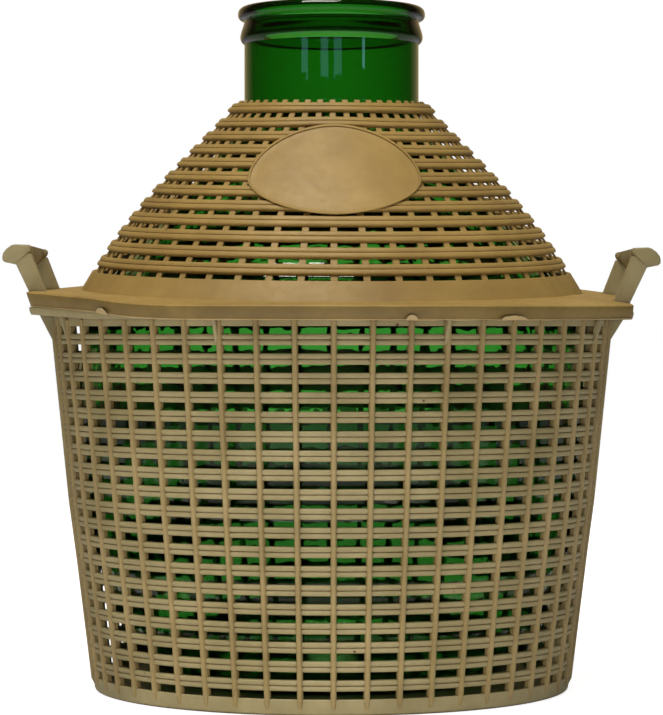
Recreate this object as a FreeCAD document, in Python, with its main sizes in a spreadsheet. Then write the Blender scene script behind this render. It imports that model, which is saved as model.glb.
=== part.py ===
"""A wide-mouth glass demijohn in a lattice basket with a conical lattice cover.

Three pieces, all in millimetres, with +Z up and the origin at the centre of the base:
the glass vessel stands on the floor of the basket, and the cover sits over its shoulder.
The cover is a flexible moulding that has been pulled askew: its rings lean forward and
to one side, but stay centred on the neck that comes up through them.
"""
import FreeCAD, Part
import math
import os
import re
import Sketcher

SIZES = (
    ("RibCount", 48, "upright ribs of the basket, and webs of the cover"),
    ("RowCount", 20, "rows of gaps in the basket wall"),
    ("RowPitch", 13.35, "height from one basket row to the next"),
    ("FirstGap", 14.4, "height of the middle of the lowest row"),
    ("GapHeight", 5.5, "height of a basket gap"),
    ("GapWeb", 6.5, "web between two basket gaps"),
    ("BaseRadius", 177.4, "basket wall at the base"),
    ("KneeRadius", 194.7, "basket wall where its slope changes"),
    ("KneeHeight", 140, "height where the slope changes"),
    ("RimRadius", 208.4, "basket wall at the rim"),
    ("RimHeight", 281.4, "height of the basket rim"),
    ("WallThickness", 5.5, "basket wall over a band"),
    ("GrooveDepth", 2.6, "from the crest of a band to the bottom of a groove"),
    ("FloorRecess", 3, "hollow under the basket floor"),
    ("FloorThickness", 4, "basket floor"),
    ("RibWidth", 4, "width of an upright rib"),
    ("RibProud", 1.7, "how far a rib stands out from the bands"),
    ("RibFoot", 2.5, "height of the pointed foot of a rib"),
    ("RibPoint", 8, "length of the point of that foot"),
    ("RibEnd", 6.5, "from the top of a rib up to the rim"),
    ("RibRoot", 3.2, "how deep a rib is sunk into the wall"),
    ("StrutWidth", 24, "width of the strut under a lug"),
    ("StrutProud", 3.4, "how far the strut stands out from the bands"),
    ("StrutFoot", 6, "height of the lower end of the strut"),
    ("GussetReach", 217, "how far out the gusset under the lug goes"),
    ("GussetDrop", 20.5, "from the rim down to the lower end of the gusset"),
    ("LugReach", 218, "how far out the basket lug goes"),
    ("LugHalfWidth", 80, "half the width of the basket lug at its end"),
    ("LugThickness", 4.8, "basket lug, and the flange round the rim"),
    ("RimFlange", 216, "round flange at the rim"),
    ("FinCount", 8, "fins under that flange"),
    ("FinFoot", 255, "height of the lower end of a fin"),
    ("FinWidth", 2.6, "thickness of a fin"),
    ("LugSpread", 38, "angle, seen from above, at which a lug leaves the round flange"),
    ("HandleLean", 24, "angle of the handle posts from upright"),
    ("PostFootReach", 208.2, "middle of a post at the rim"),
    ("PostSpacing", 122, "from one post of a handle to the other"),
    ("PostWidth", 10, "width of a post along the handle"),
    ("PostThickness", 10.9, "thickness of a post across the handle"),
    ("PostSink", 2.8, "how deep a post is sunk into the lug"),
    ("HoopBar", 4, "bar between the posts inside the grip"),
    ("GripReach", 240, "outermost point of the grip"),
    ("GripWidth", 21.6, "grip, across"),
    ("GripBottom", 316, "height of the underside of the grip"),
    ("GripDepth", 13, "height of the grip"),
    ("GripRound", 4.5, "rounding of the edges of the grip"),
    ("GripOverhang", 3, "how far the grip runs past the posts"),
    ("GlassHeight", 510, "height of the top of the lip"),
    ("SeatClearance", 0.3, "between pieces that rest on each other"),
    ("GlassWall", 4, "thickness of the blown wall"),
    ("FootRadius", 118, "flat foot of the glass"),
    ("HeelHeight", 38, "from the foot up to the end of the rounded heel"),
    ("HeelCurve", 68, "radius of the rounded heel"),
    ("BellyRadius", 190.5, "widest part of the glass"),
    ("BellyHeight", 205, "height of the widest part"),
    ("BodyCurve", 393, "radius of the slightly curved side"),
    ("ShoulderCurve", 110, "radius where the side turns into the shoulder"),
    ("ShoulderTurn", 7, "angle at which that radius starts"),
    ("ShoulderSlope", 49, "slope of the shoulder"),
    ("NeckSweep", 40, "radius where the shoulder turns into the neck"),
    ("NeckRadius", 65.4, "outside of the neck"),
    ("BoreRadius", 58.5, "inside of the neck"),
    ("LipRadius", 70.3, "round bead of the lip"),
    ("LipBead", 5, "radius of that bead"),
    ("MouthRound", 4, "rounding of the inner edge of the mouth"),
    ("CollarRadius", 68.8, "ring below the lip"),
    ("CollarDrop", 21.5, "from the top of the lip down to the middle of that ring"),
    ("CollarBead", 6, "half the height of that ring"),
    ("CoverPitch", 2.9, "how far the cover leans forward, in degrees"),
    ("CoverRoll", 1.3, "how far it leans to the right, in degrees"),
    ("CoverRows", 12, "rows of holes in the cover"),
    ("CoverRowPitch", 13.66, "from one row to the next, along the slope"),
    ("CoverBand", 18.8, "from the flange to the middle of the lowest row, along the slope"),
    ("CoverHole", 5, "height of a hole in the cover, along the slope"),
    ("CoverFootRadius", 187.2, "cone of the cover at the flange"),
    ("CoverSlope", 59.45, "slope of the cone at the flange"),
    ("CoverCurve", 665, "radius of the slightly bulging cone"),
    ("CoverThickness", 4.2, "cone of the cover over a ring"),
    ("RingDepth", 2.4, "from the crest of a ring to the bottom of a groove"),
    ("CoverCollar", 8, "plain edge above the top ring"),
    ("CollarInset", 1, "how far that edge is set back at its end"),
    ("WebWidth", 6, "web between two holes"),
    ("FlangeRadius", 219, "round part of the cover's flange"),
    ("FlangeThickness", 3, "top plate of the flange"),
    ("SkirtDepth", 7.2, "turned-down edge below that plate"),
    ("SkirtWall", 1.8, "thickness of the turned-down edge"),
    ("CoverLugReach", 224, "how far out the cover lug goes"),
    ("CoverLugHalfWidth", 85, "half the width of the cover lug at its end"),
    ("PostClearance", 1, "around a post in the slot of the cover lug"),
    ("PlateHeight", 95, "middle of the oval plate above the flange"),
    ("PlateHalfWidth", 63, "half the width of the oval plate"),
    ("PlateHalfHeight", 33.5, "half the height of the oval plate"),
    ("PlateProud", 0.4, "how far the plate stands out from the rings"),
    ("PlateBead", 1.3, "how far its border stands out"),
    ("PlateBorder", 3, "width of that border"),
)

# Only some cells of the lattice are cut right through; the rest are grooves between ribs.
OPEN_ROW_STEP = 2
OPEN_COLUMNS = 6
COVER_COLUMNS = 4
CELL_SHIFT = 2
PLATE_SPANS = 4
INNER_SPANS = 5
HOLLOW_SHARE = 0.6
SIDE_NAMES = {-1: "left", 1: "right"}
END_NAMES = {-1: "front", 1: "rear"}

doc = FreeCAD.newDocument("Demijohn")
sheet = doc.addObject("Spreadsheet::Sheet", "Sizes")
for row, (alias, size, note) in enumerate(SIZES, start=1):
    sheet.set(f"A{row}", alias)
    sheet.set(f"B{row}", str(size))
    sheet.set(f"C{row}", note)
    sheet.setAlias(f"B{row}", alias)
doc.recompute()

SIZE_WORD = re.compile(r"\b(" + "|".join(alias for alias, size, note in SIZES) + r")\b")


def tied(formula):
    """The formula with each named size read from the sheet."""
    return SIZE_WORD.sub(r"Sizes.\1", str(formula))


def bind(thing, **formulas):
    """Tie properties of an object to formulas."""
    for name, formula in formulas.items():
        thing.setExpression(name, tied(formula))


def bind_place(thing, across="0", along="0", up="0"):
    """Tie the place of an object to formulas."""
    thing.setExpression("Placement.Base.x", tied(across))
    thing.setExpression("Placement.Base.y", tied(along))
    thing.setExpression("Placement.Base.z", tied(up))


probe = doc.addObject("App::FeaturePython", "Probe")


def number(formula):
    """The present value of a formula."""
    result = probe.evalExpression(tied(formula))
    return float(getattr(result, "Value", result))


def origin_plane(body, role):
    """One of the origin planes of a body, by its role."""
    return next(item for item in body.Origin.OriginFeatures if item.Role == role)


def sketch_on(body, role, name):
    """An empty sketch on an origin plane of its body."""
    sketch = body.newObject("Sketcher::SketchObject", name)
    sketch.AttachmentSupport = [(origin_plane(body, role), "")]
    sketch.MapMode = "FlatFace"
    return sketch


def draw_outline(sketch, corners):
    """A closed outline in a sketch.

    Each corner is (across, up) or (across, up, radius, side). A radius makes the edge that
    leads to that corner an arc, bulging to the left (+1) or to the right (-1) of its way.
    """
    count = len(corners)
    points = [FreeCAD.Vector(number(c[0]), number(c[1]), 0) for c in corners]
    for index in range(count):
        start, end = points[index - 1], points[index]
        if len(corners[index]) == 2:
            sketch.addGeometry(Part.LineSegment(start, end), False)
            continue
        radius, side = number(corners[index][2]), corners[index][3]
        chord = end - start
        left = FreeCAD.Vector(-chord.y, chord.x, 0).normalize()
        rise = radius - math.sqrt(radius ** 2 - (chord.Length / 2) ** 2)
        middle = (start + end) / 2 + left * rise * side
        arc = Part.Arc(end, middle, start) if side > 0 else Part.Arc(start, middle, end)
        sketch.addGeometry(arc, False)
    ends = [(2, 1) if len(c) > 2 and c[3] > 0 else (1, 2) for c in corners]
    for index in range(count):
        following = (index + 1) % count
        sketch.addConstraint(
            Sketcher.Constraint("Coincident", index, ends[index][1], following, ends[following][0]))
    for index, corner in enumerate(corners):
        for kind, formula, place in (("DistanceX", corner[0], points[index].x),
                                     ("DistanceY", corner[1], points[index].y)):
            held = sketch.addConstraint(
                Sketcher.Constraint(kind, -1, 1, index, ends[index][1], place))
            sketch.setExpression(f"Constraints[{held}]", tied(formula))
        if len(corner) > 2:
            held = sketch.addConstraint(
                Sketcher.Constraint("Radius", index, number(corner[2])))
            sketch.setExpression(f"Constraints[{held}]", tied(corner[2]))
    return sketch


def revolve(body, sketch, name, kind="PartDesign::Revolution"):
    """Turn a sketch once around the upright axis."""
    turned = body.newObject(kind, name)
    turned.Profile = sketch
    turned.ReferenceAxis = (sketch, ["V_Axis"])
    turned.Angle = 360
    return turned


def pad(body, sketch, name, length, both_ways=False):
    """Push a sketch out into a solid."""
    solid = body.newObject("PartDesign::Pad", name)
    solid.Profile = sketch
    if both_ways:
        solid.SideType = "Symmetric"
    solid.setExpression("Length", tied(length))
    return solid


def around_axis(body, features, name, count):
    """Repeat features evenly around the upright axis."""
    pattern = body.newObject("PartDesign::PolarPattern", name)
    pattern.Originals = features
    upright = next(item for item in body.Origin.OriginFeatures if item.Role == "Z_Axis")
    pattern.Axis = (upright, [""])
    pattern.Angle = 360
    bind(pattern, Occurrences=count)
    body.Tip = pattern
    return pattern


def loft(name, sections):
    """A flat-sided solid through many-cornered rings; each is (radius, across, along, up)."""
    rings = []
    for index, (radius, across, along, up) in enumerate(sections):
        ring = doc.addObject("Part::RegularPolygon", f"{name}_ring_{index}")
        bind(ring, Polygon="RibCount", Circumradius=radius)
        bind_place(ring, across, along, up)
        rings.append(ring)
    solid = doc.addObject("Part::Loft", name)
    solid.Sections = rings
    solid.Solid = True
    solid.Ruled = True
    return solid


def fuse(name, pieces):
    """Join solids into one."""
    joined = doc.addObject("Part::MultiFuse", name)
    joined.Shapes = pieces
    joined.Refine = False
    return joined


def cut(name, base, tool):
    """Take one solid away from another."""
    left_over = doc.addObject("Part::Cut", name)
    left_over.Base = base
    left_over.Tool = tool
    left_over.Refine = False
    return left_over


# The glass vessel

FLOOR_TOP = "(FloorRecess + FloorThickness)"
GLASS_FOOT = f"({FLOOR_TOP} + SeatClearance)"


def vessel_outline(inset, neck, foot, top):
    """Half the section of the vessel, or of its hollow, drawn in from it by an inset."""
    body = f"(BodyCurve - {inset})"
    shoulder = f"(ShoulderCurve - {inset})"
    sweep = f"(NeckSweep + {inset})"
    belly = f"(BellyRadius - {inset})"
    sin_slope = "sin(ShoulderSlope * 1deg)"
    cos_slope = "cos(ShoulderSlope * 1deg)"
    heel_up = f"(FloorRecess + FloorThickness + HeelHeight)"
    heel_across = f"({belly} - {body} + sqrt({body}^2 - (BellyHeight - {heel_up})^2))"
    turn_across = f"({belly} - {body} + {body} * cos(ShoulderTurn * 1deg))"
    turn_up = f"(BellyHeight + {body} * sin(ShoulderTurn * 1deg))"
    centre_across = f"({belly} - {body} + ({body} - {shoulder}) * cos(ShoulderTurn * 1deg))"
    centre_up = f"(BellyHeight + ({body} - {shoulder}) * sin(ShoulderTurn * 1deg))"
    slope_across = f"({centre_across} + {shoulder} * {sin_slope})"
    slope_up = f"({centre_up} + {shoulder} * {cos_slope})"
    along_normal = f"({centre_across} * {sin_slope} + {centre_up} * {cos_slope} + {shoulder})"
    neck_up = f"(({along_normal} + {sweep} - ({neck} + {sweep}) * {sin_slope}) / {cos_slope})"
    sweep_across = f"({neck} + {sweep} * (1 - {sin_slope}))"
    sweep_up = f"({neck_up} - {sweep} * {cos_slope})"
    heel = f"(HeelCurve - {inset})"
    return [
        ("0", foot),
        (f"(FootRadius - {inset})", foot),
        (heel_across, heel_up, heel, -1),
        (turn_across, turn_up, body, -1),
        (slope_across, slope_up, shoulder, -1),
        (sweep_across, sweep_up),
        (neck, neck_up, sweep, 1),
        (neck, top),
        ("0", top),
    ]


vessel = doc.addObject("PartDesign::Body", "glass_vessel")
lip_middle = "(GlassHeight - LipBead)"
outside = draw_outline(sketch_on(vessel, "XZ_Plane", "vessel_section"),
                       vessel_outline("0", "NeckRadius", GLASS_FOOT, lip_middle))
revolve(vessel, outside, "blown_form")

collar_up = "(GlassHeight - CollarDrop)"
collar_swell = "(CollarRadius - NeckRadius)"
collar_curve = f"(({collar_swell}^2 + CollarBead^2) / (2 * {collar_swell}))"
ring_section = draw_outline(sketch_on(vessel, "XZ_Plane", "ring_section"), [
    ("BoreRadius", f"({collar_up} - CollarBead)"),
    ("NeckRadius", f"({collar_up} - CollarBead)"),
    ("NeckRadius", f"({collar_up} + CollarBead)", collar_curve, -1),
    ("BoreRadius", f"({collar_up} + CollarBead)"),
])
revolve(vessel, ring_section, "ring_below_lip")

bead_across = "(LipRadius - LipBead)"
lip_section = draw_outline(sketch_on(vessel, "XZ_Plane", "lip_section"), [
    ("BoreRadius - 1", "(GlassHeight - 2 * LipBead)"),
    (bead_across, "(GlassHeight - 2 * LipBead)"),
    ("LipRadius", lip_middle, "LipBead", -1),
    (bead_across, "GlassHeight", "LipBead", -1),
    ("BoreRadius + MouthRound", "GlassHeight"),
    ("BoreRadius", "(GlassHeight - MouthRound)", "MouthRound", -1),
    ("BoreRadius - 1", "(GlassHeight - MouthRound)"),
])
revolve(vessel, lip_section, "lip")

hollow_section = draw_outline(
    sketch_on(vessel, "XZ_Plane", "hollow_section"),
    vessel_outline("GlassWall", "BoreRadius", f"({GLASS_FOOT} + GlassWall)",
                   "(GlassHeight + 1)"))
vessel.Tip = revolve(vessel, hollow_section, "hollow", "PartDesign::Groove")


# The basket

def wall_at(up):
    """Outer radius of the basket wall at a height."""
    lower = f"BaseRadius + (KneeRadius - BaseRadius) * ({up}) / KneeHeight"
    share = f"(({up}) - KneeHeight) / (RimHeight - KneeHeight)"
    upper = f"KneeRadius + (RimRadius - KneeRadius) * {share}"
    return f"(({up}) < KneeHeight ? {lower} : {upper})"


def basket_rings():
    """The grooved outside of the wall: a crest over each band and a groove along each row."""
    rings = [(wall_at("0"), "0", "0", "0")]
    for row in range(int(number("RowCount"))):
        crest = f"(FirstGap + ({row} - 0.5) * RowPitch)"
        groove = f"(FirstGap + {row} * RowPitch)"
        rings.append((wall_at(crest), "0", "0", crest))
        rings.append((f"{wall_at(groove)} - GrooveDepth", "0", "0", groove))
    last = "(FirstGap + (RowCount - 0.5) * RowPitch)"
    rings.append((wall_at(last), "0", "0", last))
    rings.append(("RimRadius", "0", "0", "RimHeight"))
    return rings


def inner_wall(up):
    """Inner radius of the basket wall at a height."""
    return f"({wall_at(up)} - WallThickness)"


basket_outside = loft("basket_outside", basket_rings())
basket_space = loft("basket_space", [
    (inner_wall(FLOOR_TOP), "0", "0", FLOOR_TOP),
    (inner_wall("KneeHeight"), "0", "0", "KneeHeight"),
    (inner_wall("RimHeight"), "0", "0", "RimHeight + 0.01"),
])
under_floor = loft("under_floor", [
    (inner_wall("0"), "0", "0", "-1"),
    (inner_wall("0"), "0", "0", "FloorRecess"),
])

rib_top = "(RimHeight - RibEnd)"
rib_shoulder = "(RibFoot + RibPoint)"
rib_body = doc.addObject("PartDesign::Body", "upright_ribs")
rib_section = draw_outline(sketch_on(rib_body, "XZ_Plane", "rib_section"), [
    (wall_at("RibFoot"), "RibFoot"),
    (f"{wall_at(rib_shoulder)} + RibProud", rib_shoulder),
    ("KneeRadius + RibProud", "KneeHeight"),
    (f"{wall_at(rib_top)} + RibProud", rib_top),
    (f"{wall_at(rib_top)} - RibRoot", rib_top),
    ("KneeRadius - RibRoot", "KneeHeight"),
    (f"{wall_at('RibFoot')} - RibRoot", "RibFoot"),
])
rib = pad(rib_body, rib_section, "rib", "RibWidth", both_ways=True)
around_axis(rib_body, [rib], "rib_pattern", "RibCount")

gusset_foot = "(RimHeight - GussetDrop)"
gusset_top = "(RimHeight - LugThickness)"
strut_body = doc.addObject("PartDesign::Body", "side_struts")
strut_section = draw_outline(sketch_on(strut_body, "XZ_Plane", "strut_section"), [
    (f"{wall_at('StrutFoot')} + StrutProud", "StrutFoot"),
    ("KneeRadius + StrutProud", "KneeHeight"),
    (f"{wall_at(gusset_foot)} + StrutProud", gusset_foot),
    ("GussetReach", gusset_top),
    (f"{wall_at(gusset_top)} - RibRoot", gusset_top),
    ("KneeRadius - RibRoot", "KneeHeight"),
    (f"{wall_at('StrutFoot')} - RibRoot", "StrutFoot"),
])
strut = pad(strut_body, strut_section, "strut", "StrutWidth", both_ways=True)
around_axis(strut_body, [strut], "strut_pattern", "2")


def flange_outline(radius, reach, half_width, inset="0"):
    """A flange seen from above: a round rim with a lug at each side."""
    round_part = f"({radius} - {inset})"
    across = f"({round_part} * cos(LugSpread * 1deg))"
    along = f"({round_part} * sin(LugSpread * 1deg))"
    end = f"({reach} - {inset})"
    half = f"({half_width} - {inset})"
    return [
        (across, f"-{along}", round_part, -1),
        (end, f"-{half}"),
        (end, half),
        (across, along),
        (f"-{across}", along, round_part, -1),
        (f"-{end}", half),
        (f"-{end}", f"-{half}"),
        (f"-{across}", f"-{along}"),
    ]


rim_body = doc.addObject("PartDesign::Body", "rim_flange")
rim_plan = draw_outline(sketch_on(rim_body, "XY_Plane", "rim_plan"),
                        flange_outline("RimFlange", "LugReach", "LugHalfWidth"))
rim_plan.setExpression("AttachmentOffset.Base.z", tied("RimHeight - LugThickness"))
pad(rim_body, rim_plan, "rim_plate", "LugThickness")

fin_body = doc.addObject("PartDesign::Body", "rim_fins")
fin_section = draw_outline(sketch_on(fin_body, "XZ_Plane", "fin_section"), [
    (f"{wall_at('FinFoot')} + RibProud", "FinFoot"),
    ("RimFlange - 1", gusset_top),
    (f"{wall_at(gusset_top)} - RibRoot", gusset_top),
    (f"{wall_at('FinFoot')} - RibRoot", "FinFoot"),
])
fin_section.AttachmentOffset = FreeCAD.Placement(
    FreeCAD.Vector(), FreeCAD.Rotation(FreeCAD.Vector(0, 1, 0), 180 / number("FinCount")))
fin_section.setExpression("AttachmentOffset.Rotation.Angle", tied("180deg / FinCount"))
fin = pad(fin_body, fin_section, "fin", "FinWidth", both_ways=True)
around_axis(fin_body, [fin], "fin_pattern", "FinCount")

post_outside = "((PostSpacing + PostWidth) / 2)"
post_inside = "((PostSpacing - PostWidth) / 2)"
post_top = "((GripBottom + GripDepth / 2 - RimHeight) / cos(HandleLean * 1deg))"
handle_body = doc.addObject("PartDesign::Body", "handles")
hoop_plan = draw_outline(sketch_on(handle_body, "YZ_Plane", "hoop_plan"), [
    (f"-{post_outside}", "-PostSink"),
    (f"-{post_inside}", "-PostSink"),
    (f"-{post_inside}", f"({post_top} - HoopBar)"),
    (post_inside, f"({post_top} - HoopBar)"),
    (post_inside, "-PostSink"),
    (post_outside, "-PostSink"),
    (post_outside, post_top),
    (f"-{post_outside}", post_top),
])
hoop_plan.setExpression("AttachmentOffset.Base.y", tied("RimHeight"))
hoop_plan.setExpression("AttachmentOffset.Base.z", tied("PostFootReach"))
hoop_plan.AttachmentOffset = FreeCAD.Placement(
    FreeCAD.Vector(), FreeCAD.Rotation(FreeCAD.Vector(1, 0, 0), number("HandleLean")))
hoop_plan.setExpression("AttachmentOffset.Rotation.Angle", tied("HandleLean * 1deg"))
hoop = pad(handle_body, hoop_plan, "hoop", "PostThickness", both_ways=True)
grip_inner = "(GripReach - GripWidth)"
grip_top = "(GripBottom + GripDepth)"
grip_section = draw_outline(sketch_on(handle_body, "XZ_Plane", "grip_section"), [
    (f"({grip_inner} + GripRound)", "GripBottom"),
    ("(GripReach - GripRound)", "GripBottom"),
    ("GripReach", "(GripBottom + GripRound)", "GripRound", -1),
    ("GripReach", f"({grip_top} - GripRound)"),
    ("(GripReach - GripRound)", grip_top, "GripRound", -1),
    (f"({grip_inner} + GripRound)", grip_top),
    (grip_inner, f"({grip_top} - GripRound)", "GripRound", -1),
    (grip_inner, "(GripBottom + GripRound)"),
])
grip = pad(handle_body, grip_section, "grip", "PostSpacing + PostWidth + 2 * GripOverhang",
           both_ways=True)
around_axis(handle_body, [hoop, grip], "handle_pattern", "2")

basket_solid = fuse("basket_solid",
                    [basket_outside, rib_body, strut_body, rim_body, fin_body, handle_body])


def wedge_box(reach, depth, width, height, turn, lean, across, along, up):
    """A box that cuts one gap: it points outwards at an angle, leaning back with the wall."""
    box = Part.makeBox(depth, width, height, FreeCAD.Vector(reach - depth, -width / 2, -height / 2))
    box.rotate(FreeCAD.Vector(reach, 0, 0), FreeCAD.Vector(0, 1, 0), -lean)
    box.rotate(FreeCAD.Vector(), FreeCAD.Vector(0, 0, 1), turn)
    box.translate(FreeCAD.Vector(across, along, up))
    return box


def cells_of_row(row, columns):
    """The cells of one row that are open, a little further round on each row."""
    cells = int(number("RibCount"))
    step = cells // columns
    first = 1 + (CELL_SHIFT * row) % (step - 2)
    return [first + step * column for column in range(columns)]


def basket_gaps():
    """Boxes for the open cells of the basket wall."""
    cell_angle = 360 / number("RibCount")
    boxes = []
    for row in range(0, int(number("RowCount")), OPEN_ROW_STEP):
        up = f"(FirstGap + {row} * RowPitch)"
        radius = number(wall_at(up))
        width = 2 * radius * math.sin(math.radians(cell_angle / 2)) - number("GapWeb")
        for cell in cells_of_row(row // OPEN_ROW_STEP, OPEN_COLUMNS):
            boxes.append(wedge_box(radius + 1, number("WallThickness") + 4, width,
                                   number("GapHeight"), cell_angle * (cell + 0.5), 0,
                                   0, 0, number(up)))
    return Part.makeCompound(boxes)


basket_gap_boxes = doc.addObject("Part::Feature", "basket_gap_boxes")
basket_gap_boxes.Shape = basket_gaps()
basket_hollows = doc.addObject("Part::Compound", "basket_hollows")
basket_hollows.Links = [basket_space, under_floor, basket_gap_boxes]
basket = cut("basket", basket_solid, basket_hollows)


# The cover, drawn flat on its flange and then leaned to its place

def cover_turn(along_slope):
    """Slope of the cone at a distance along it from the flange."""
    return f"((CoverSlope - ({along_slope}) / CoverCurve * 180 / pi) * 1deg)"


def cover_radius(along_slope, inset="0"):
    """Radius of the cone at that distance, or of a surface inset from it."""
    turn = cover_turn(along_slope)
    curve = f"CoverCurve * (sin(CoverSlope * 1deg) - sin({turn}))"
    return f"(CoverFootRadius - {curve} - ({inset}) * sin({turn}))"


def cover_up(along_slope, inset="0"):
    """Height of that surface above the underside of the flange."""
    turn = cover_turn(along_slope)
    curve = f"CoverCurve * (cos({turn}) - cos(CoverSlope * 1deg))"
    return f"(FlangeThickness + {curve} - ({inset}) * cos({turn}))"


def cover_section(radius, up):
    """A ring of the cover, shifted so that it is centred on the neck once the cover leans."""
    return (radius, f"-({up}) * tan(CoverRoll * 1deg)", f"({up}) * tan(CoverPitch * 1deg)", up)


def slope_section(along_slope, inset="0"):
    """A ring of the cover at a distance along its slope."""
    return cover_section(cover_radius(along_slope, inset), cover_up(along_slope, inset))


def cover_rings():
    """The ringed outside of the cone: a crest over each ring and a groove along each row."""
    rings = [cover_section("CoverFootRadius", "0"), slope_section("0")]
    for row in range(int(number("CoverRows"))):
        rings.append(slope_section(f"CoverBand + ({row} - 0.5) * CoverRowPitch"))
        rings.append(slope_section(f"CoverBand + {row} * CoverRowPitch", "RingDepth"))
    rings.append(slope_section(COVER_TOP_RING))
    rings.append(slope_section(COVER_END, "CollarInset"))
    return rings


COVER_TOP_RING = "(CoverBand + (CoverRows - 0.5) * CoverRowPitch)"
COVER_END = f"({COVER_TOP_RING} + CoverCollar)"

cover_outside = loft("cover_outside", cover_rings())


def smooth_cone(name, inset, start, end, spans):
    """The cone without its rings, inset from its surface."""
    reach = f"(({end}) - ({start}))"
    rings = [slope_section(f"({start}) + {reach} * {span} / {spans}", inset)
             for span in range(spans + 1)]
    return loft(name, rings)


def oval_prism(name, grow):
    """An upright oval, pushed forwards out of the cone."""
    oval = doc.addObject("Part::Ellipse", f"{name}_outline")
    bind(oval, MajorRadius=f"PlateHalfWidth + ({grow})", MinorRadius=f"PlateHalfHeight + ({grow})")
    oval.Placement = FreeCAD.Placement(
        FreeCAD.Vector(), FreeCAD.Rotation(FreeCAD.Vector(1, 0, 0), 90))
    bind_place(oval, "-PlateHeight * tan(CoverRoll * 1deg)", "0", "PlateHeight")
    prism = doc.addObject("Part::Extrusion", name)
    prism.Base = oval
    prism.DirMode = "Custom"
    prism.Dir = FreeCAD.Vector(0, -1, 0)
    prism.Solid = True
    bind(prism, LengthFwd="FlangeRadius")
    return prism


def common(name, base, tool):
    """What two solids share."""
    shared = doc.addObject("Part::Common", name)
    shared.Base = base
    shared.Tool = tool
    shared.Refine = False
    return shared


plate_cone = smooth_cone("plate_cone", "-PlateProud", "CoverBand", COVER_TOP_RING, PLATE_SPANS)
plate_block = common("plate_block", oval_prism("plate_prism", "0"), plate_cone)
border_cone = smooth_cone("border_cone", "-PlateBead", "CoverBand", COVER_TOP_RING, PLATE_SPANS)
border_prism = cut("border_prism", oval_prism("border_outer", "0"),
                   oval_prism("border_inner", "-PlateBorder"))
border_block = common("border_block", border_prism, border_cone)

flange_lift = "-SkirtDepth"
cover_flange = ("FlangeRadius", "CoverLugReach", "CoverLugHalfWidth")
flange_body = doc.addObject("PartDesign::Body", "cover_flange")
flange_plan = draw_outline(sketch_on(flange_body, "XY_Plane", "flange_plan"),
                           flange_outline(*cover_flange))
flange_plan.setExpression("AttachmentOffset.Base.z", tied(flange_lift))
pad(flange_body, flange_plan, "flange", "FlangeThickness + SkirtDepth")
under_plan = draw_outline(sketch_on(flange_body, "XY_Plane", "under_plan"),
                          flange_outline(*cover_flange, "SkirtWall"))
under_plan.setExpression("AttachmentOffset.Base.z", tied(flange_lift))
doc.recompute()
before = flange_body.Shape.Volume
under_flange = flange_body.newObject("PartDesign::Pocket", "under_flange")
under_flange.Profile = under_plan
under_flange.Reversed = True
bind(under_flange, Length="SkirtDepth")
doc.recompute()
if flange_body.Shape.Volume > HOLLOW_SHARE * before:
    raise RuntimeError("the flange was not hollowed")

cover_seat = ("(RimHeight + SeatClearance"
              " + RimFlange * sqrt(tan(CoverPitch * 1deg)^2 + tan(CoverRoll * 1deg)^2))")


def post_slot(side, end):
    """A box around one handle post where it comes up through the leaning flange."""
    along = f"({end} * PostSpacing / 2)"
    lift = f"({along} * tan(CoverPitch * 1deg) - {side} * PostFootReach * tan(CoverRoll * 1deg))"
    plate_up = f"({cover_seat} + {lift} + FlangeThickness / 2)"
    middle = f"(PostFootReach + ({plate_up} - RimHeight) * tan(HandleLean * 1deg))"
    length = ("(PostThickness / cos(HandleLean * 1deg) + 2 * PostClearance"
              " + FlangeThickness * tan(HandleLean * 1deg))")
    slot = doc.addObject("Part::Box", f"post_slot_{SIDE_NAMES[side]}_{END_NAMES[end]}")
    bind(slot, Length=length, Width="PostWidth + 2 * PostClearance",
         Height="2 * (FlangeThickness + SkirtDepth)")
    bind_place(slot, f"{side} * {middle} - {length} / 2",
               f"{along} - PostWidth / 2 - PostClearance", "-(FlangeThickness + SkirtDepth)")
    return slot


def cover_gaps():
    """Boxes for the open cells of the cone."""
    cell_angle = 360 / number("RibCount")
    boxes = []
    for row in range(int(number("CoverRows"))):
        place = f"CoverBand + {row} * CoverRowPitch"
        radius, across, along, up = (number(part) for part in slope_section(place))
        lean = 90 - number(f"{cover_turn(place)} / 1deg")
        width = 2 * radius * math.sin(math.radians(cell_angle / 2)) - number("WebWidth")
        for cell in cells_of_row(row, COVER_COLUMNS):
            boxes.append(wedge_box(radius + 1, number("CoverThickness") + 3, width,
                                   number("CoverHole"), cell_angle * (cell + 0.5), lean,
                                   across, along, up))
    return Part.makeCompound(boxes)


cover_inside = smooth_cone("cover_inside", "CoverThickness", "0",
                           f"{COVER_END} + CoverThickness + 2", INNER_SPANS)
cover_mouth = loft("cover_mouth", [
    cover_section(cover_radius("0", "CoverThickness"), "-SkirtDepth"),
    slope_section("0", "CoverThickness"),
])
cover_gap_boxes = doc.addObject("Part::Feature", "cover_gap_boxes")
cover_gap_boxes.Shape = cover_gaps()
cover_solid = fuse("cover_solid", [cover_outside, flange_body, plate_block, border_block])
cover_space = fuse("cover_space", [cover_inside, cover_mouth, cover_gap_boxes])
cover_hollows = doc.addObject("Part::Compound", "cover_hollows")
cover_hollows.Links = [cover_space] + [
    post_slot(side, end) for side in SIDE_NAMES for end in END_NAMES]
cover = cut("cover", cover_solid, cover_hollows)
cover.Placement = FreeCAD.Placement(
    FreeCAD.Vector(0, 0, number(cover_seat)),
    FreeCAD.Rotation(FreeCAD.Vector(0, 1, 0), number("CoverRoll"))
    * FreeCAD.Rotation(FreeCAD.Vector(1, 0, 0), number("CoverPitch")))


# Check and write

doc.recompute()
for thing in doc.Objects:
    if "Invalid" in thing.State or "Error" in thing.State:
        raise RuntimeError(f"{thing.Label} failed: {thing.State}")

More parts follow.
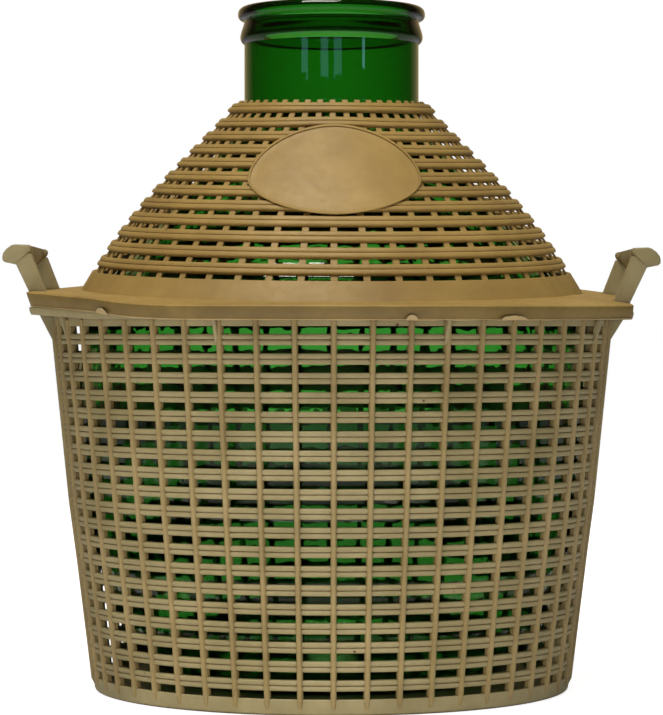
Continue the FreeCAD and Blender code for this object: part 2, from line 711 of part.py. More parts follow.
os.makedirs("parts", exist_ok=True)
for piece in (vessel, basket, cover):
    shape = piece.Shape
    if shape.isNull() or not shape.isValid():
        raise RuntimeError(f"{piece.Label} has no valid shape")
    box = shape.BoundBox
    print(piece.Label, "solids", len(shape.Solids), "faces", len(shape.Faces),
          "litres", round(shape.Volume / 1e6, 3),
          "box", [round(v, 1) for v in (box.XMin, box.YMin, box.ZMin, box.XMax, box.YMax, box.ZMax)])
    shape.exportStep(f"parts/{piece.Label}.step")
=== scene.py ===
# %% [markdown]
# # A wide-mouth demijohn in its lattice basket
# The real object is three things that lift apart: a blown vessel of bottle-green glass, a
# moulded basket that it stands in, and a moulded lattice cover over its shoulder. The frame
# holds their sizes and places. Here each of the three gets its true surface: glass whose
# colour deepens with its thickness, and two lattices that Geometry Nodes repeat.

# %% The frame
import bisect
import math

import bmesh
import bpy
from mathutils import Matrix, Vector, noise


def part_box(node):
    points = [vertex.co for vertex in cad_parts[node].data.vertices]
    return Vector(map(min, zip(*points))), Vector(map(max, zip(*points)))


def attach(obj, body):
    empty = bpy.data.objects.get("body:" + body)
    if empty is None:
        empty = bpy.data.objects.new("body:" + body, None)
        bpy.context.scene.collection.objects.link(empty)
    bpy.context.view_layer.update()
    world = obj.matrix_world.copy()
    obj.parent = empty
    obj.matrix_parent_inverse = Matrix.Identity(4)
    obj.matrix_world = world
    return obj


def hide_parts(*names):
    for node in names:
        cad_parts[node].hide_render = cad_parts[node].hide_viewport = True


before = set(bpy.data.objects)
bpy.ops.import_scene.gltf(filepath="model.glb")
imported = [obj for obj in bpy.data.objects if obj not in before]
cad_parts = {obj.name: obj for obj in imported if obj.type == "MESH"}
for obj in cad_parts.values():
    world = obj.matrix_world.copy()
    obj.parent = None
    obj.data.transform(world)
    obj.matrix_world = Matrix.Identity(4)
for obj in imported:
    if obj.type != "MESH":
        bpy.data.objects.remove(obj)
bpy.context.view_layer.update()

# %% [markdown]
# ## Sizes
# The basket is a cone that widens upwards, a little less above its knee, and the cover is a
# cone that is steepest at its foot. Their sizes could be typed in wherever a piece needs them,
# but then pieces that touch would part with the first change. So each size is named once, in
# millimetres, as a mould maker would write it. The height of the lip and the height and reach
# of the grips come from the frame, and the lattice is worked out from its row pitch and the
# number of its ribs.

# %% Sizes from the frame
MM = 0.001
LIP_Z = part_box("glass_vessel")[1].z / MM
GRIP_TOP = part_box("basket")[1].z / MM
GRIP_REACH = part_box("basket")[1].x / MM
print("lip", round(LIP_Z, 1), "grips", round(GRIP_TOP, 1), "reach", round(GRIP_REACH, 1))

# %% Sizes of the basket
RIBS = 48
BASE_R = 177.4
KNEE_R = 194.7
KNEE_Z = 140.0
RIM_R = 208.4
RIM_Z = 281.4
ROWS = 20
ROW_PITCH = 13.35
FIRST_GAP = 14.4
GAP = 5.5


def wall_r(z):
    """Outer radius of the basket wall over its bands."""
    lower = BASE_R + (KNEE_R - BASE_R) * z / KNEE_Z
    upper = KNEE_R + (RIM_R - KNEE_R) * (z - KNEE_Z) / (RIM_Z - KNEE_Z)
    return min(lower, upper)


print("wall at the ground, knee and rim", [round(wall_r(z), 1) for z in (0, KNEE_Z, RIM_Z)])

# %% Slope of the cover
COVER_FOOT_R = 187.2
COVER_BAND = 18.8
COVER_PITCH = 13.66
COVER_ROWS = 12
COVER_HOLE = 5.5
FLANGE_TOP = 3.0


def cover_slope(along):
    """Steepness of the cover, a distance up from its foot: steeper below, then straight."""
    return math.radians(45.4 + 14.0 * math.exp(-(along / 72) ** 2))


def cover_line(first, last):
    """Radius and height over the flange at each millimetre up the slope of the cover."""
    line = {0: (COVER_FOOT_R, FLANGE_TOP)}
    for step in (-1, 1):
        for along in range(0, first if step < 0 else last, step):
            slope = cover_slope(along + step / 2)
            radius, height = line[along]
            line[along + step] = (radius - step * math.cos(slope), height + step * math.sin(slope))
    return [line[along] for along in range(first, last + 1)]


LINE_START = -12
slope_line = cover_line(LINE_START, 210)
slope_heights = [height for radius, height in slope_line]


def cone_place(along, depth=0.0):
    """Radius, height over the flange and slope of the cover, a distance up its slope."""
    whole = math.floor(along)
    low, high = (Vector(slope_line[whole - LINE_START + k]) for k in (0, 1))
    radius, height = low.lerp(high, along - whole)
    slope = cover_slope(along)
    return radius - depth * math.sin(slope), height - depth * math.cos(slope), slope


print("top of the cover", [round(v, 1) for v in cone_place(COVER_BAND + 11.5 * COVER_PITCH)])

# %% [markdown]
# ## Helpers for materials
# A shader counts in light, and a swatch shows what a screen does with it. So colours are
# written as they would be picked from a swatch, and one function turns them linear. Materials
# could be built by hand in the Shader Editor; here one small function adds a node, sets it
# and links it, so that a whole material can be read from top to bottom.

# %% Colour and node helpers


def linear(swatch):
    """A colour written as #rrggbb, as the linear colour that a shader takes."""
    parts = [int(swatch[i:i + 2], 16) / 255 for i in (1, 3, 5)]
    return tuple(c / 12.92 if c <= 0.04045 else ((c + 0.055) / 1.055) ** 2.4
                 for c in parts) + (1.0,)


def add_node(tree, kind, links=None, **settings):
    """Add a node; links gives each input a value or another node's socket."""
    node = tree.nodes.new(kind)
    for name, value in settings.items():
        setattr(node, name, value)
    for place, source in (links or {}).items():
        socket = node.inputs[place]
        if isinstance(source, bpy.types.NodeSocket):
            tree.links.new(source, socket)
        else:
            socket.default_value = source
    return node


def new_material(name):
    """An empty material, with its tree and its output."""
    material = bpy.data.materials.new(name)
    material.use_nodes = True
    tree = material.node_tree
    tree.nodes.clear()
    return material, tree, add_node(tree, "ShaderNodeOutputMaterial")


def ramp(tree, factor, stops):
    """A colour ramp with stops of (place, swatch)."""
    node = add_node(tree, "ShaderNodeValToRGB", {"Fac": factor})
    points = node.color_ramp.elements
    while len(points) < len(stops):
        points.new(0.5)
    for point, (place, swatch) in zip(points, stops):
        point.position = place
        point.color = linear(swatch)
    return node.outputs["Color"]


print("grey beige as light", [round(c, 3) for c in linear("#978B64")])

# %% [markdown]
# ## Bottle-green glass
# Old bottle glass is coloured by iron, all the way through, so a thick wall is a deep green
# and a thin one a clear leaf green. A green surface would tint both alike. So the colour is a
# volume that absorbs light on its way, and the surface only reflects. The blown surface is
# not quite true: shallow waves some 24 mm apart bend what is seen through the body, and the
# pressed neck has far less of them. Waves in the mesh would need very many faces, and a bump
# bends the light just as well.

# %% Glass material
WAVE_MM = 24.0
WAVE_DEPTH_MM = 0.50
# The share of the waves' depth that is left in the neck, and the heights between which it falls.
NECK_SHARE = 0.06
NECK_FROM_MM = 360.0
NECK_UP_MM = 420.0


def bottle_glass():
    """Blown glass: crisp mirrors on its skin, and a green that deepens with its thickness."""
    material, tree, output = new_material("bottle_green_glass_blown")
    place = add_node(tree, "ShaderNodeTexCoord").outputs["Object"]
    waves = add_node(tree, "ShaderNodeTexNoise", {
        "Vector": place, "Scale": 1 / (WAVE_MM * MM), "Detail": 2.0})
    height = add_node(tree, "ShaderNodeSeparateXYZ", {"Vector": place}).outputs["Z"]
    depth_here = add_node(tree, "ShaderNodeMapRange", {
        "Value": height, "From Min": NECK_FROM_MM * MM, "From Max": NECK_UP_MM * MM,
        "To Min": WAVE_DEPTH_MM * MM, "To Max": NECK_SHARE * WAVE_DEPTH_MM * MM})
    bump = add_node(tree, "ShaderNodeBump", {
        "Height": waves.outputs["Fac"], "Distance": depth_here.outputs["Result"], "Strength": 0.6})
    surface = add_node(tree, "ShaderNodeBsdfPrincipled", {
        "Base Color": linear("#FCFFFC"), "Roughness": 0.01, "IOR": 1.5,
        "Transmission Weight": 1.0, "Normal": bump.outputs["Normal"]})
    depth = add_node(tree, "ShaderNodeVolumeAbsorption", {
        "Color": linear("#7CD569"), "Density": 500.0})
    tree.links.new(surface.outputs["BSDF"], output.inputs["Surface"])
    tree.links.new(depth.outputs["Volume"], output.inputs["Volume"])
    return material


glass = bottle_glass()
print(glass.name, "waves", WAVE_MM, "mm apart")

# %% [markdown]
# ## Moulded polyethylene
# Basket and cover are injection-moulded polyethylene, left out in sheds and cellars for
# years. It has a soft waxy sheen. Its pigment is slightly cloudy over some 50 mm, grime in
# patches of some 6 mm clings to it, and dark specks 2 mm across lie about 36 mm apart. Shade
# is painted in the brown of the specks where the surface is shut in on a scale of 3 mm:
# between the beads and in the corners of the cells. A picture of old plastic could be wrapped
# round each piece. Noise in the piece's own space is chosen, because it needs no picture and
# no seams, and the Ambient Occlusion node finds the shut-in places for the painted shade.

# %% Colour of old plastic
CLOUD_MM = 50.0
GRIME_MM = 6.0
SPECK_MM = 36.0
GROOVE_MM = 3.0
# A colour Mix node has its factor at input 0, its colours at 6 and 7, its result at output 2.
FACTOR, UNDER, OVER, MIXED = 0, 6, 7, 2


def weathered_colour(tree, place, shade, body, pale, speck_and_shade):
    """The colour of old plastic: cloudy, grimy, specked, and with shade painted where it is shut
    in.
    """
    cloud = add_node(tree, "ShaderNodeTexNoise", {
        "Vector": place, "Scale": 1 / (CLOUD_MM * MM), "Detail": 3.0, "Roughness": 0.6})
    pigment = ramp(tree, cloud.outputs["Fac"], ((0.30, shade), (0.5, body), (0.72, pale)))
    grime = add_node(tree, "ShaderNodeTexNoise", {
        "Vector": place, "Scale": 1 / (GRIME_MM * MM), "Detail": 5.0, "Roughness": 0.7})
    film = add_node(tree, "ShaderNodeMapRange", {
        "Value": grime.outputs["Fac"], "From Min": 0.45, "From Max": 0.75,
        "To Min": 0.0, "To Max": 0.35})
    dusted = add_node(tree, "ShaderNodeMix", {
        FACTOR: film.outputs["Result"], UNDER: pigment, OVER: linear(shade)},
        data_type="RGBA")
    cells = add_node(tree, "ShaderNodeTexVoronoi", {
        "Vector": place, "Scale": 1 / (SPECK_MM * MM)})
    dot = add_node(tree, "ShaderNodeMapRange", {
        "Value": cells.outputs["Distance"], "From Min": 0.022, "From Max": 0.036,
        "To Min": 1.0, "To Max": 0.0})
    specked = add_node(tree, "ShaderNodeMix", {
        FACTOR: dot.outputs["Result"], UNDER: dusted.outputs[MIXED], OVER: linear(speck_and_shade)},
        data_type="RGBA")
    # Painted shade: where the surface is shut in, its colour turns towards the specks' brown.
    hollow = add_node(tree, "ShaderNodeAmbientOcclusion", {"Distance": GROOVE_MM * MM}, samples=6)
    groove_shade = add_node(tree, "ShaderNodeMapRange", {
        "Value": hollow.outputs["AO"], "From Min": 0.35, "From Max": 0.80,
        "To Min": 0.65, "To Max": 0.0})
    groove_shaded = add_node(tree, "ShaderNodeMix", {
        FACTOR: groove_shade.outputs["Result"], UNDER: specked.outputs[MIXED], OVER: linear(speck_and_shade)},
        data_type="RGBA")
    return groove_shaded.outputs[MIXED], grime.outputs["Fac"]


print("clouds", CLOUD_MM, "grime", GRIME_MM, "specks", SPECK_MM, "grooves", GROOVE_MM, "mm")

# %% Plastic material
# The grain of the real mould is some 0.1 mm. It is drawn coarser, so that it shows at all.
GRAIN_MM = 0.9
GRAIN_DEPTH_MM = 0.04


def moulded_plastic(name, shade, body, pale, speck_and_shade, roughness):
    """A weathered polyethylene from its three shades and the colour of its specks, also used for
    its painted shade.
    """
    material, tree, output = new_material(name)
    place = add_node(tree, "ShaderNodeTexCoord").outputs["Object"]
    colour, grime = weathered_colour(tree, place, shade, body, pale, speck_and_shade)
    worn = add_node(tree, "ShaderNodeMapRange", {
        "Value": grime, "From Min": 0.3, "From Max": 0.7,
        "To Min": roughness - 0.06, "To Max": roughness + 0.12})
    grain = add_node(tree, "ShaderNodeTexNoise", {
        "Vector": place, "Scale": 1 / (GRAIN_MM * MM), "Detail": 2.0})
    bump = add_node(tree, "ShaderNodeBump", {
        "Height": grain.outputs["Fac"], "Distance": GRAIN_DEPTH_MM * MM, "Strength": 0.5})
    surface = add_node(tree, "ShaderNodeBsdfPrincipled", {
        "Base Color": colour, "Roughness": worn.outputs["Result"], "IOR": 1.5,
        "Normal": bump.outputs["Normal"]})
    tree.links.new(surface.outputs["BSDF"], output.inputs["Surface"])
    return material


print("grain", GRAIN_MM, "mm wide and", GRAIN_DEPTH_MM, "mm deep")

# %% Five plastics
# Moulded and bleached: a chalky grey beige under a broad, soft sheen.
basket_plastic = moulded_plastic(
    "polyethylene_grey_beige_moulded", "#8A7F57", "#978B64", "#A49870", "#4A2A16", 0.46)
# The same on the ribs, which stand proudest: browner from floors and hands, and rubbed
# smoother, so that each rib shows against the bands it crosses.
rib_plastic = moulded_plastic(
    "polyethylene_grey_beige_rubbed", "#88754A", "#968354", "#A48F62", "#4A2A16", 0.44)
# The cover's own plastic, moulded: a warm tan whose sheen is spread widest.
cover_plastic = moulded_plastic(
    "polyethylene_tan_moulded", "#997B42", "#A58848", "#B19251", "#5A3516", 0.50)
# The tan of the cover on its skirt, with shade painted in: darker, and a little smoother.
skirt_plastic_painted_shade = moulded_plastic(
    "polyethylene_tan_handled", "#6E582A", "#7A6430", "#8A733B", "#4A2A12", 0.46)
# Squeezed out and torn: so thin that it looks pale against the skirt.
flash_plastic = moulded_plastic(
    "polyethylene_torn_flash", "#A98F60", "#BDA577", "#CDB88C", "#8A6A3A", 0.5)
for plastic in (basket_plastic, rib_plastic, cover_plastic, skirt_plastic_painted_shade, flash_plastic):
    print(plastic.name, len(plastic.node_tree.nodes), "nodes")

# %% [markdown]
# ## Meshes
# Nearly every solid of this object is a skin through rings of points: a turned form when the
# rings are circles, a flange when they are its outline, a rib when they are its section. They
# could each be drawn in Edit Mode, or be curves with a bevel. One function that makes the
# skin is chosen, because all the others then only lay out rings, in millimetres. The skin is
# closed at both ends, welded where points meet, and turned to face outwards.

# %% A finished mesh
CREASE = 35.0


def finished(name, mesh, material=None, crease=CREASE):
    """A piece from a mesh: closed, facing outwards, smooth up to a crease angle."""
    shell = bmesh.new()
    shell.from_mesh(mesh)
    bmesh.ops.remove_doubles(shell, verts=shell.verts, dist=1e-6)
    bmesh.ops.recalc_face_normals(shell, faces=shell.faces)
    shell.to_mesh(mesh)
    shell.free()
    mesh.shade_smooth()
    mesh.set_sharp_from_angle(angle=math.radians(crease))
    mesh.name = name
    if material:
        mesh.materials.clear()
        mesh.materials.append(material)
    piece = bpy.data.objects.new(name, mesh)
    bpy.context.collection.objects.link(piece)
    return piece


def hand_in(piece, node):
    """Give a finished piece to the frame in place of its CAD node."""
    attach(piece, "root")
    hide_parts(node)
    print(piece.name, "faces", len(piece.data.polygons))


print("edges stay sharp past", CREASE, "degrees")

# %% Skins and turned forms
RING_SIDES = 160


def skin(name, rings, material=None, loop=False, crease=CREASE):
    """A closed skin through rings of points; looped like a tyre, or capped at both ends."""
    count = len(rings[0])
    points = [Vector(p) * MM for ring in rings for p in ring]
    faces = []
    for span in range(len(rings) if loop else len(rings) - 1):
        a = span * count
        b = (span + 1) % len(rings) * count
        faces += [(a + k, a + (k + 1) % count, b + (k + 1) % count, b + k) for k in range(count)]
    if not loop:
        faces += [tuple(range(count)), tuple(range((len(rings) - 1) * count, len(rings) * count))]
    mesh = bpy.data.meshes.new(name)
    mesh.from_pydata(points, [], faces)
    return finished(name, mesh, material, crease)


def circle(radius, z, sides=RING_SIDES):
    """A level ring of points."""
    turns = [2 * math.pi * k / sides for k in range(sides)]
    return [(radius * math.cos(t), radius * math.sin(t), z) for t in turns]


def turned(name, outline, material, loop=True, sides=RING_SIDES, crease=CREASE):
    """A form turned on the upright axis, from an outline of (radius, height)."""
    return skin(name, [circle(r, z, sides) for r, z in outline], material, loop, crease)


print("a ring has", len(circle(1.0, 0.0)), "points")

# %% [markdown]
# ## The glass vessel
# The vessel was blown into a turned mould, so its section says all: a rounded heel, a side
# that is a shallow arc, a round shoulder, a straight slope, and an upright neck under a
# rolled lip. Round the neck runs a collar, steep on its under side and drawn in slowly above.
# The wall is 4 mm in the body and nearly 7 mm in the pressed neck. A Screw modifier with a
# Solidify could turn such a section, with one wall all over. Here a second line, drawn in by
# the wall, runs back down inside, so that the wall can grow in the neck, and the two lines
# make one closed skin.

# %% Arcs of a section


def arc(centre, radius, start, end, steps):
    """Points of an arc in a section, from one angle to another in degrees."""
    turns = [math.radians(start + (end - start) * k / steps) for k in range(steps + 1)]
    return [(centre[0] + radius * math.cos(t), centre[1] + radius * math.sin(t)) for t in turns]


def bulge(start, end, radius, steps):
    """Points of an arc from start to end that bulges to the right of its way."""
    chord = Vector(end) - Vector(start)
    right = Vector((chord.y, -chord.x)).normalized()
    centre = (Vector(start) + Vector(end)) / 2
    centre -= right * math.sqrt(radius ** 2 - (chord.length / 2) ** 2)
    spread = math.degrees(2 * math.asin(chord.length / 2 / radius))
    from_centre = Vector(start) - centre
    first = math.degrees(math.atan2(from_centre.y, from_centre.x))
    return arc(centre, radius, first, first + spread, steps)


print("a quarter in", len(arc((0.0, 0.0), 1.0, 0, 90, 8)), "points")

# %% Side of the vessel
GLASS_FOOT = 7.3
BELLY_R = 190.5
BELLY_Z = 205.0
BODY_CURVE = 393.0
SHOULDER_CURVE = 110.0
SHOULDER_TURN = 7.0
SHOULDER_SLOPE = 49.0
NECK_SWEEP = 40.0
NECK_R = 65.4
BORE_R = 58.5
GLASS_WALL = 4.0
HEEL_R = 118.0
HEEL_Z = 45.0
HEEL_CURVE = 68.0


def vessel_side(inset, neck, foot):
    """Half the section of the vessel, foot to neck, drawn in by an inset."""
    body = BODY_CURVE - inset
    shoulder = SHOULDER_CURVE - inset
    sweep = NECK_SWEEP + inset
    axis = BELLY_R - BODY_CURVE
    heel_turn = math.degrees(math.asin((HEEL_Z - BELLY_Z) / body))
    side = arc((axis, BELLY_Z), body, heel_turn, SHOULDER_TURN, 24)
    turn = math.radians(SHOULDER_TURN)
    reach = BODY_CURVE - SHOULDER_CURVE
    centre = (axis + reach * math.cos(turn), BELLY_Z + reach * math.sin(turn))
    facing = 90 - SHOULDER_SLOPE
    lean = math.radians(facing)
    across = centre[0] * math.cos(lean) + centre[1] * math.sin(lean) + shoulder + sweep
    neck_z = (across - (neck + sweep) * math.cos(lean)) / math.sin(lean)
    heel = bulge((HEEL_R - inset, foot), side[0], HEEL_CURVE - inset, 10)
    return ([(0.5, foot), *heel, *side[1:]]
            + arc(centre, shoulder, SHOULDER_TURN, facing, 12)[1:]
            + arc((neck + sweep, neck_z), sweep, 180 + facing, 180, 12))


print("neck starts at", [round(c, 1) for c in vessel_side(0.0, NECK_R, GLASS_FOOT)[-1]])

# %% Glass vessel
# The collar, out from the neck and down from the lip.
collar = ((0.0, 28.0), (0.9, 27.3), (2.0, 26.2), (2.8, 24.8), (3.1, 23.2), (3.0, 21.4),
          (2.5, 19.0), (1.6, 16.2), (0.7, 13.4), (0.2, 11.4), (0.3, 10.5))
outside = vessel_side(0.0, NECK_R, GLASS_FOOT)
outside += [(NECK_R + out, LIP_Z - down) for out, down in collar]
outside += arc((66.4, LIP_Z - 6.2), 3.8, -80, 0, 6)
outside += arc((65.2, LIP_Z - 5.0), 5.0, 0, 90, 9)
inside = vessel_side(GLASS_WALL, BORE_R, GLASS_FOOT + GLASS_WALL)
inside += arc((BORE_R + 4.0, LIP_Z - 4.0), 4.0, 180, 90, 6)
vessel = turned("glass_vessel_blown", outside + inside[::-1], glass, loop=False, sides=192)
hand_in(vessel, "glass_vessel")

# %% [markdown]
# ## Two node trees for the lattices
# A lattice is two repeats: rings stacked up a wall, and ribs set around it. Array modifiers
# could do both, but their steps are all alike, and here each ring has its own radius and
# lean. So the first tree puts a circle on every point of a guide mesh, scales it by the
# point's own radius, tilts its section to face as the wall does there, and sweeps the section
# along it. The second sets copies of one rib evenly around the axis. Both realize their
# instances and set the material, so that the result is one plain mesh.

# %% Start and end of a tree


def new_tree(name, inputs):
    """A node tree for a modifier, with its named inputs."""
    tree = bpy.data.node_groups.new(name, "GeometryNodeTree")
    tree.interface.new_socket("Geometry", in_out="INPUT", socket_type="NodeSocketGeometry")
    for label, kind in inputs.items():
        tree.interface.new_socket(label, in_out="INPUT", socket_type=kind)
    tree.interface.new_socket("Geometry", in_out="OUTPUT", socket_type="NodeSocketGeometry")
    return tree, add_node(tree, "NodeGroupInput").outputs


def end_tree(tree, geometry, material):
    """Set the material and close the tree."""
    painted = add_node(tree, "GeometryNodeSetMaterial", {
        "Geometry": geometry, "Material": material})
    add_node(tree, "NodeGroupOutput", {"Geometry": painted.outputs["Geometry"]})


print("a tree starts with its named inputs and ends in Set Material")

# %% Tree of stacked rings


def stacked_rings_tree():
    """Rings on the points of a guide, each with its own reach and lean."""
    tree, given = new_tree("Stacked rings", {
        "Section": "NodeSocketObject", "Sides": "NodeSocketInt", "Material": "NodeSocketMaterial"})
    reach = add_node(tree, "GeometryNodeInputNamedAttribute", {"Name": "reach"}, data_type="FLOAT")
    lean = add_node(tree, "GeometryNodeInputNamedAttribute", {"Name": "lean"}, data_type="FLOAT")
    ring = add_node(tree, "GeometryNodeCurvePrimitiveCircle", {
        "Resolution": given["Sides"], "Radius": 1.0})
    stack = add_node(tree, "GeometryNodeInstanceOnPoints", {
        "Points": given["Geometry"], "Instance": ring.outputs["Curve"],
        "Scale": reach.outputs["Attribute"]})
    real = add_node(tree, "GeometryNodeRealizeInstances", {"Geometry": stack.outputs["Instances"]})
    upright = add_node(tree, "GeometryNodeSetCurveNormal", {
        "Curve": real.outputs["Geometry"]}, mode="Z_UP")
    tilted = add_node(tree, "GeometryNodeSetCurveTilt", {
        "Curve": upright.outputs["Curve"], "Tilt": lean.outputs["Attribute"]})
    section = add_node(tree, "GeometryNodeObjectInfo", {"Object": given["Section"]})
    line = add_node(tree, "GeometryNodeMeshToCurve", {"Mesh": section.outputs["Geometry"]})
    swept = add_node(tree, "GeometryNodeCurveToMesh", {
        "Curve": tilted.outputs["Curve"], "Profile Curve": line.outputs["Curve"]})
    end_tree(tree, swept.outputs["Mesh"], given["Material"])
    return tree


stacked_rings = stacked_rings_tree()
print(stacked_rings.name, len(stacked_rings.nodes), "nodes")

# %% Tree of copies around the axis


def around_axis_tree():
    """Copies of a piece, set evenly around the upright axis from a first turn."""
    tree, given = new_tree("Around the axis", {
        "Count": "NodeSocketInt", "First Turn": "NodeSocketFloat",
        "Material": "NodeSocketMaterial"})
    points = add_node(tree, "GeometryNodePoints", {"Count": given["Count"]})
    index = add_node(tree, "GeometryNodeInputIndex")
    step = add_node(tree, "ShaderNodeMath", {0: 2 * math.pi, 1: given["Count"]}, operation="DIVIDE")
    turn = add_node(tree, "ShaderNodeMath", {
        0: index.outputs["Index"], 1: step.outputs["Value"], 2: given["First Turn"]},
        operation="MULTIPLY_ADD")
    spin = add_node(tree, "ShaderNodeCombineXYZ", {"Z": turn.outputs["Value"]})
    copies = add_node(tree, "GeometryNodeInstanceOnPoints", {
        "Points": points.outputs["Points"], "Instance": given["Geometry"],
        "Rotation": spin.outputs["Vector"]})
    real = add_node(tree, "GeometryNodeRealizeInstances", {"Geometry": copies.outputs["Instances"]})
    end_tree(tree, real.outputs["Geometry"], given["Material"])
    return tree


around_axis = around_axis_tree()
print(around_axis.name, len(around_axis.nodes), "nodes")

# %% Growing a piece


def grown(name, source, tree, crease=CREASE, **given):
    """Run a tree on a piece, keep the result as a plain mesh, and drop what it came from."""
    modifier = source.modifiers.new(tree.name, "NODES")
    modifier.node_group = tree
    for socket in tree.interface.items_tree:
        label = socket.name.lower().replace(" ", "_")
        if socket.in_out == "INPUT" and label in given:
            modifier[socket.identifier] = given[label]
    ready = source.evaluated_get(bpy.context.evaluated_depsgraph_get())
    mesh = bpy.data.meshes.new_from_object(ready)
    bpy.data.objects.remove(source)
    return finished(name, mesh, given["material"], crease)


def guide_points(name, places):
    """Points for a stack of rings, from (radius, height, lean) in millimetres and radians."""
    mesh = bpy.data.meshes.new(name)
    mesh.from_pydata([(0, 0, z * MM) for r, z, lean in places], [], [])
    for label, column in (("reach", 0), ("lean", 2)):
        values = [place[column] * (MM if column == 0 else 1) for place in places]
        mesh.attributes.new(label, "FLOAT", "POINT").data.foreach_set("value", values)
    piece = bpy.data.objects.new(name, mesh)
    bpy.context.collection.objects.link(piece)
    return piece


print("inputs", [socket.name for socket in around_axis.interface.items_tree])

# %% [markdown]
# ## The basket wall
# Nineteen bands run round the wall between twenty rows of gaps. Each band is two flattened
# beads, 1.7 mm deep, and is swept round its circle. Behind them stand 48 webs, 4 mm wide,
# and each carries a narrower rounded rib that crosses all the bands and ends in a point on
# the foot band. The 960 cells could be cut out of a plain wall with a Boolean, but bands and
# ribs that are built up keep their round edges. One section, stepped twice, makes web and
# rib together.

# %% Section of a band
BEAD_ROUNDNESS = 0.6


def section_piece(name, outline):
    """A closed line of (outwards, upwards) for a ring's section."""
    count = len(outline)
    mesh = bpy.data.meshes.new(name)
    mesh.from_pydata([(out * MM, -up * MM, 0) for out, up in outline],
                     [(k, (k + 1) % count) for k in range(count)], [])
    piece = bpy.data.objects.new(name, mesh)
    bpy.context.collection.objects.link(piece)
    return piece


def twin_bead(height, depth, back, steps=8):
    """The section of a band: two flattened beads, one over the other, on a flat back."""
    bead = height / 4
    halves = []
    for middle in (-bead, bead):
        for k in range(steps + 1):
            turn = math.radians(-90 + 180 * k / steps)
            proud = max(math.cos(turn), 0) ** BEAD_ROUNDNESS
            halves.append((depth * (proud - 1), middle + bead * math.sin(turn)))
    lower, upper = halves[:steps + 1], halves[steps + 2:]
    return lower + upper + [(-back, height / 2 - 0.3), (-back, 0.3 - height / 2)]


BAND = ROW_PITCH - GAP
print("a band is", round(BAND, 2), "mm high, its section has", len(twin_bead(BAND, 1, 1)), "points")

# %% Basket bands
BEAD_DEPTH = 1.7
WALL_BACK = 4.4
lower_lean = math.atan((KNEE_R - BASE_R) / KNEE_Z)
upper_lean = math.atan((RIM_R - KNEE_R) / (RIM_Z - KNEE_Z))

band_places = []
for row in range(ROWS - 1):
    z = FIRST_GAP + (row + 0.5) * ROW_PITCH
    band_places.append((wall_r(z), z, lower_lean if z < KNEE_Z else upper_lean))
band_section = section_piece("band_section", twin_bead(BAND, BEAD_DEPTH, WALL_BACK))
bands = grown("basket_bands", guide_points("band_guide", band_places), stacked_rings,
              section=band_section, sides=RING_SIDES, material=basket_plastic, crease=50)
bpy.data.objects.remove(band_section)
hand_in(bands, "basket")

# %% Section of a rib
WEB_WIDTH = 4.0
RIB_WIDTH = 3.3
RIB_PROUD = 1.8
RIB_TURN = math.radians(0.45)
RIB_TOP = 275.5


def rib_section(z, proud, half):
    """Web and rib at a height: half the section, mirrored."""
    r = wall_r(z)
    side = WEB_WIDTH / 2
    step = r - BEAD_DEPTH + 0.2
    right = [(r - WALL_BACK + 0.2, side), (step - 0.4, side), (step, side - 0.4),
             (step, half + 0.5), (r + proud * 0.55, half), (r + proud * 0.9, half - 0.5),
             (r + proud, half - 1.1 if half > 1.4 else half * 0.3)]
    return ([(out, y, z) for out, y in right]
            + [(out, -y, z) for out, y in reversed(right)])


def bar(name, sections, material=None, crease=CREASE):
    """A bar through sections that are lists of (outwards, sideways, upwards)."""
    return skin(name, sections, material, crease=crease)


print("the section of web and rib has", len(rib_section(KNEE_Z, RIB_PROUD, 1)), "points")

# %% Basket ribs
# The rib starts as a point on the foot band, and bends with the wall at the knee.
foot_rings = [rib_section(2.6, -0.9, 0.5), rib_section(6.0, 0.7, 1.3)]
rib = bar("rib", foot_rings + [rib_section(z, RIB_PROUD, RIB_WIDTH / 2)
                               for z in (11.0, KNEE_Z, RIB_TOP)])
ribs = grown("basket_ribs", rib, around_axis, count=RIBS, first_turn=RIB_TURN,
             material=rib_plastic, crease=40)
hand_in(ribs, "basket")

# %% [markdown]
# ## Foot, rim and flange of the basket
# Below the lowest gaps a plain band runs down to the ground and carries the floor. Above the
# highest gaps another runs up to a flat flange, round but for a lug at each side, and pulled
# up a little at the left. Eight thin fins hold the flange from below, and a wide strut runs
# down the wall under each lug. The bands are turned, as the glass is. The flange could be cut
# from a plate and bevelled. Its outline, drawn again for each height and a little further in
# where the edge is rounded, is chosen, because it keeps that edge even around the lugs.

# %% Foot and rim
foot_top = FIRST_GAP - GAP / 2
rim_foot = FIRST_GAP + (ROWS - 1) * ROW_PITCH + GAP / 2
foot_outline = [
    (wall_r(0) - 2.2, 0.0), (wall_r(0) - 0.9, 0.4), (wall_r(0) - 0.2, 1.1), (wall_r(2), 2.2),
    (wall_r(foot_top), foot_top - 0.5),
    (wall_r(foot_top) - 0.5, foot_top), (wall_r(foot_top) - WALL_BACK, foot_top),
    (wall_r(7.0) - WALL_BACK - 1, 7.0), (0.5, 7.0)]
under_foot = [(0.5, 3.0), (wall_r(3.0) - WALL_BACK, 3.0), (wall_r(0) - WALL_BACK, 0.0)]
foot = turned("basket_foot", foot_outline + under_foot, basket_plastic, loop=True)
hand_in(foot, "basket")

rim = turned("basket_rim", [
    (wall_r(rim_foot) - WALL_BACK, rim_foot), (wall_r(rim_foot) - 0.5, rim_foot),
    (wall_r(rim_foot), rim_foot + 0.5), (wall_r(RIM_Z - 2), RIM_Z - 2),
    (wall_r(RIM_Z - 2) - WALL_BACK, RIM_Z - 2)], basket_plastic)

# %% Outline of a flange
LUG_SPREAD = math.radians(38)
LUG_CORNER = 7.0


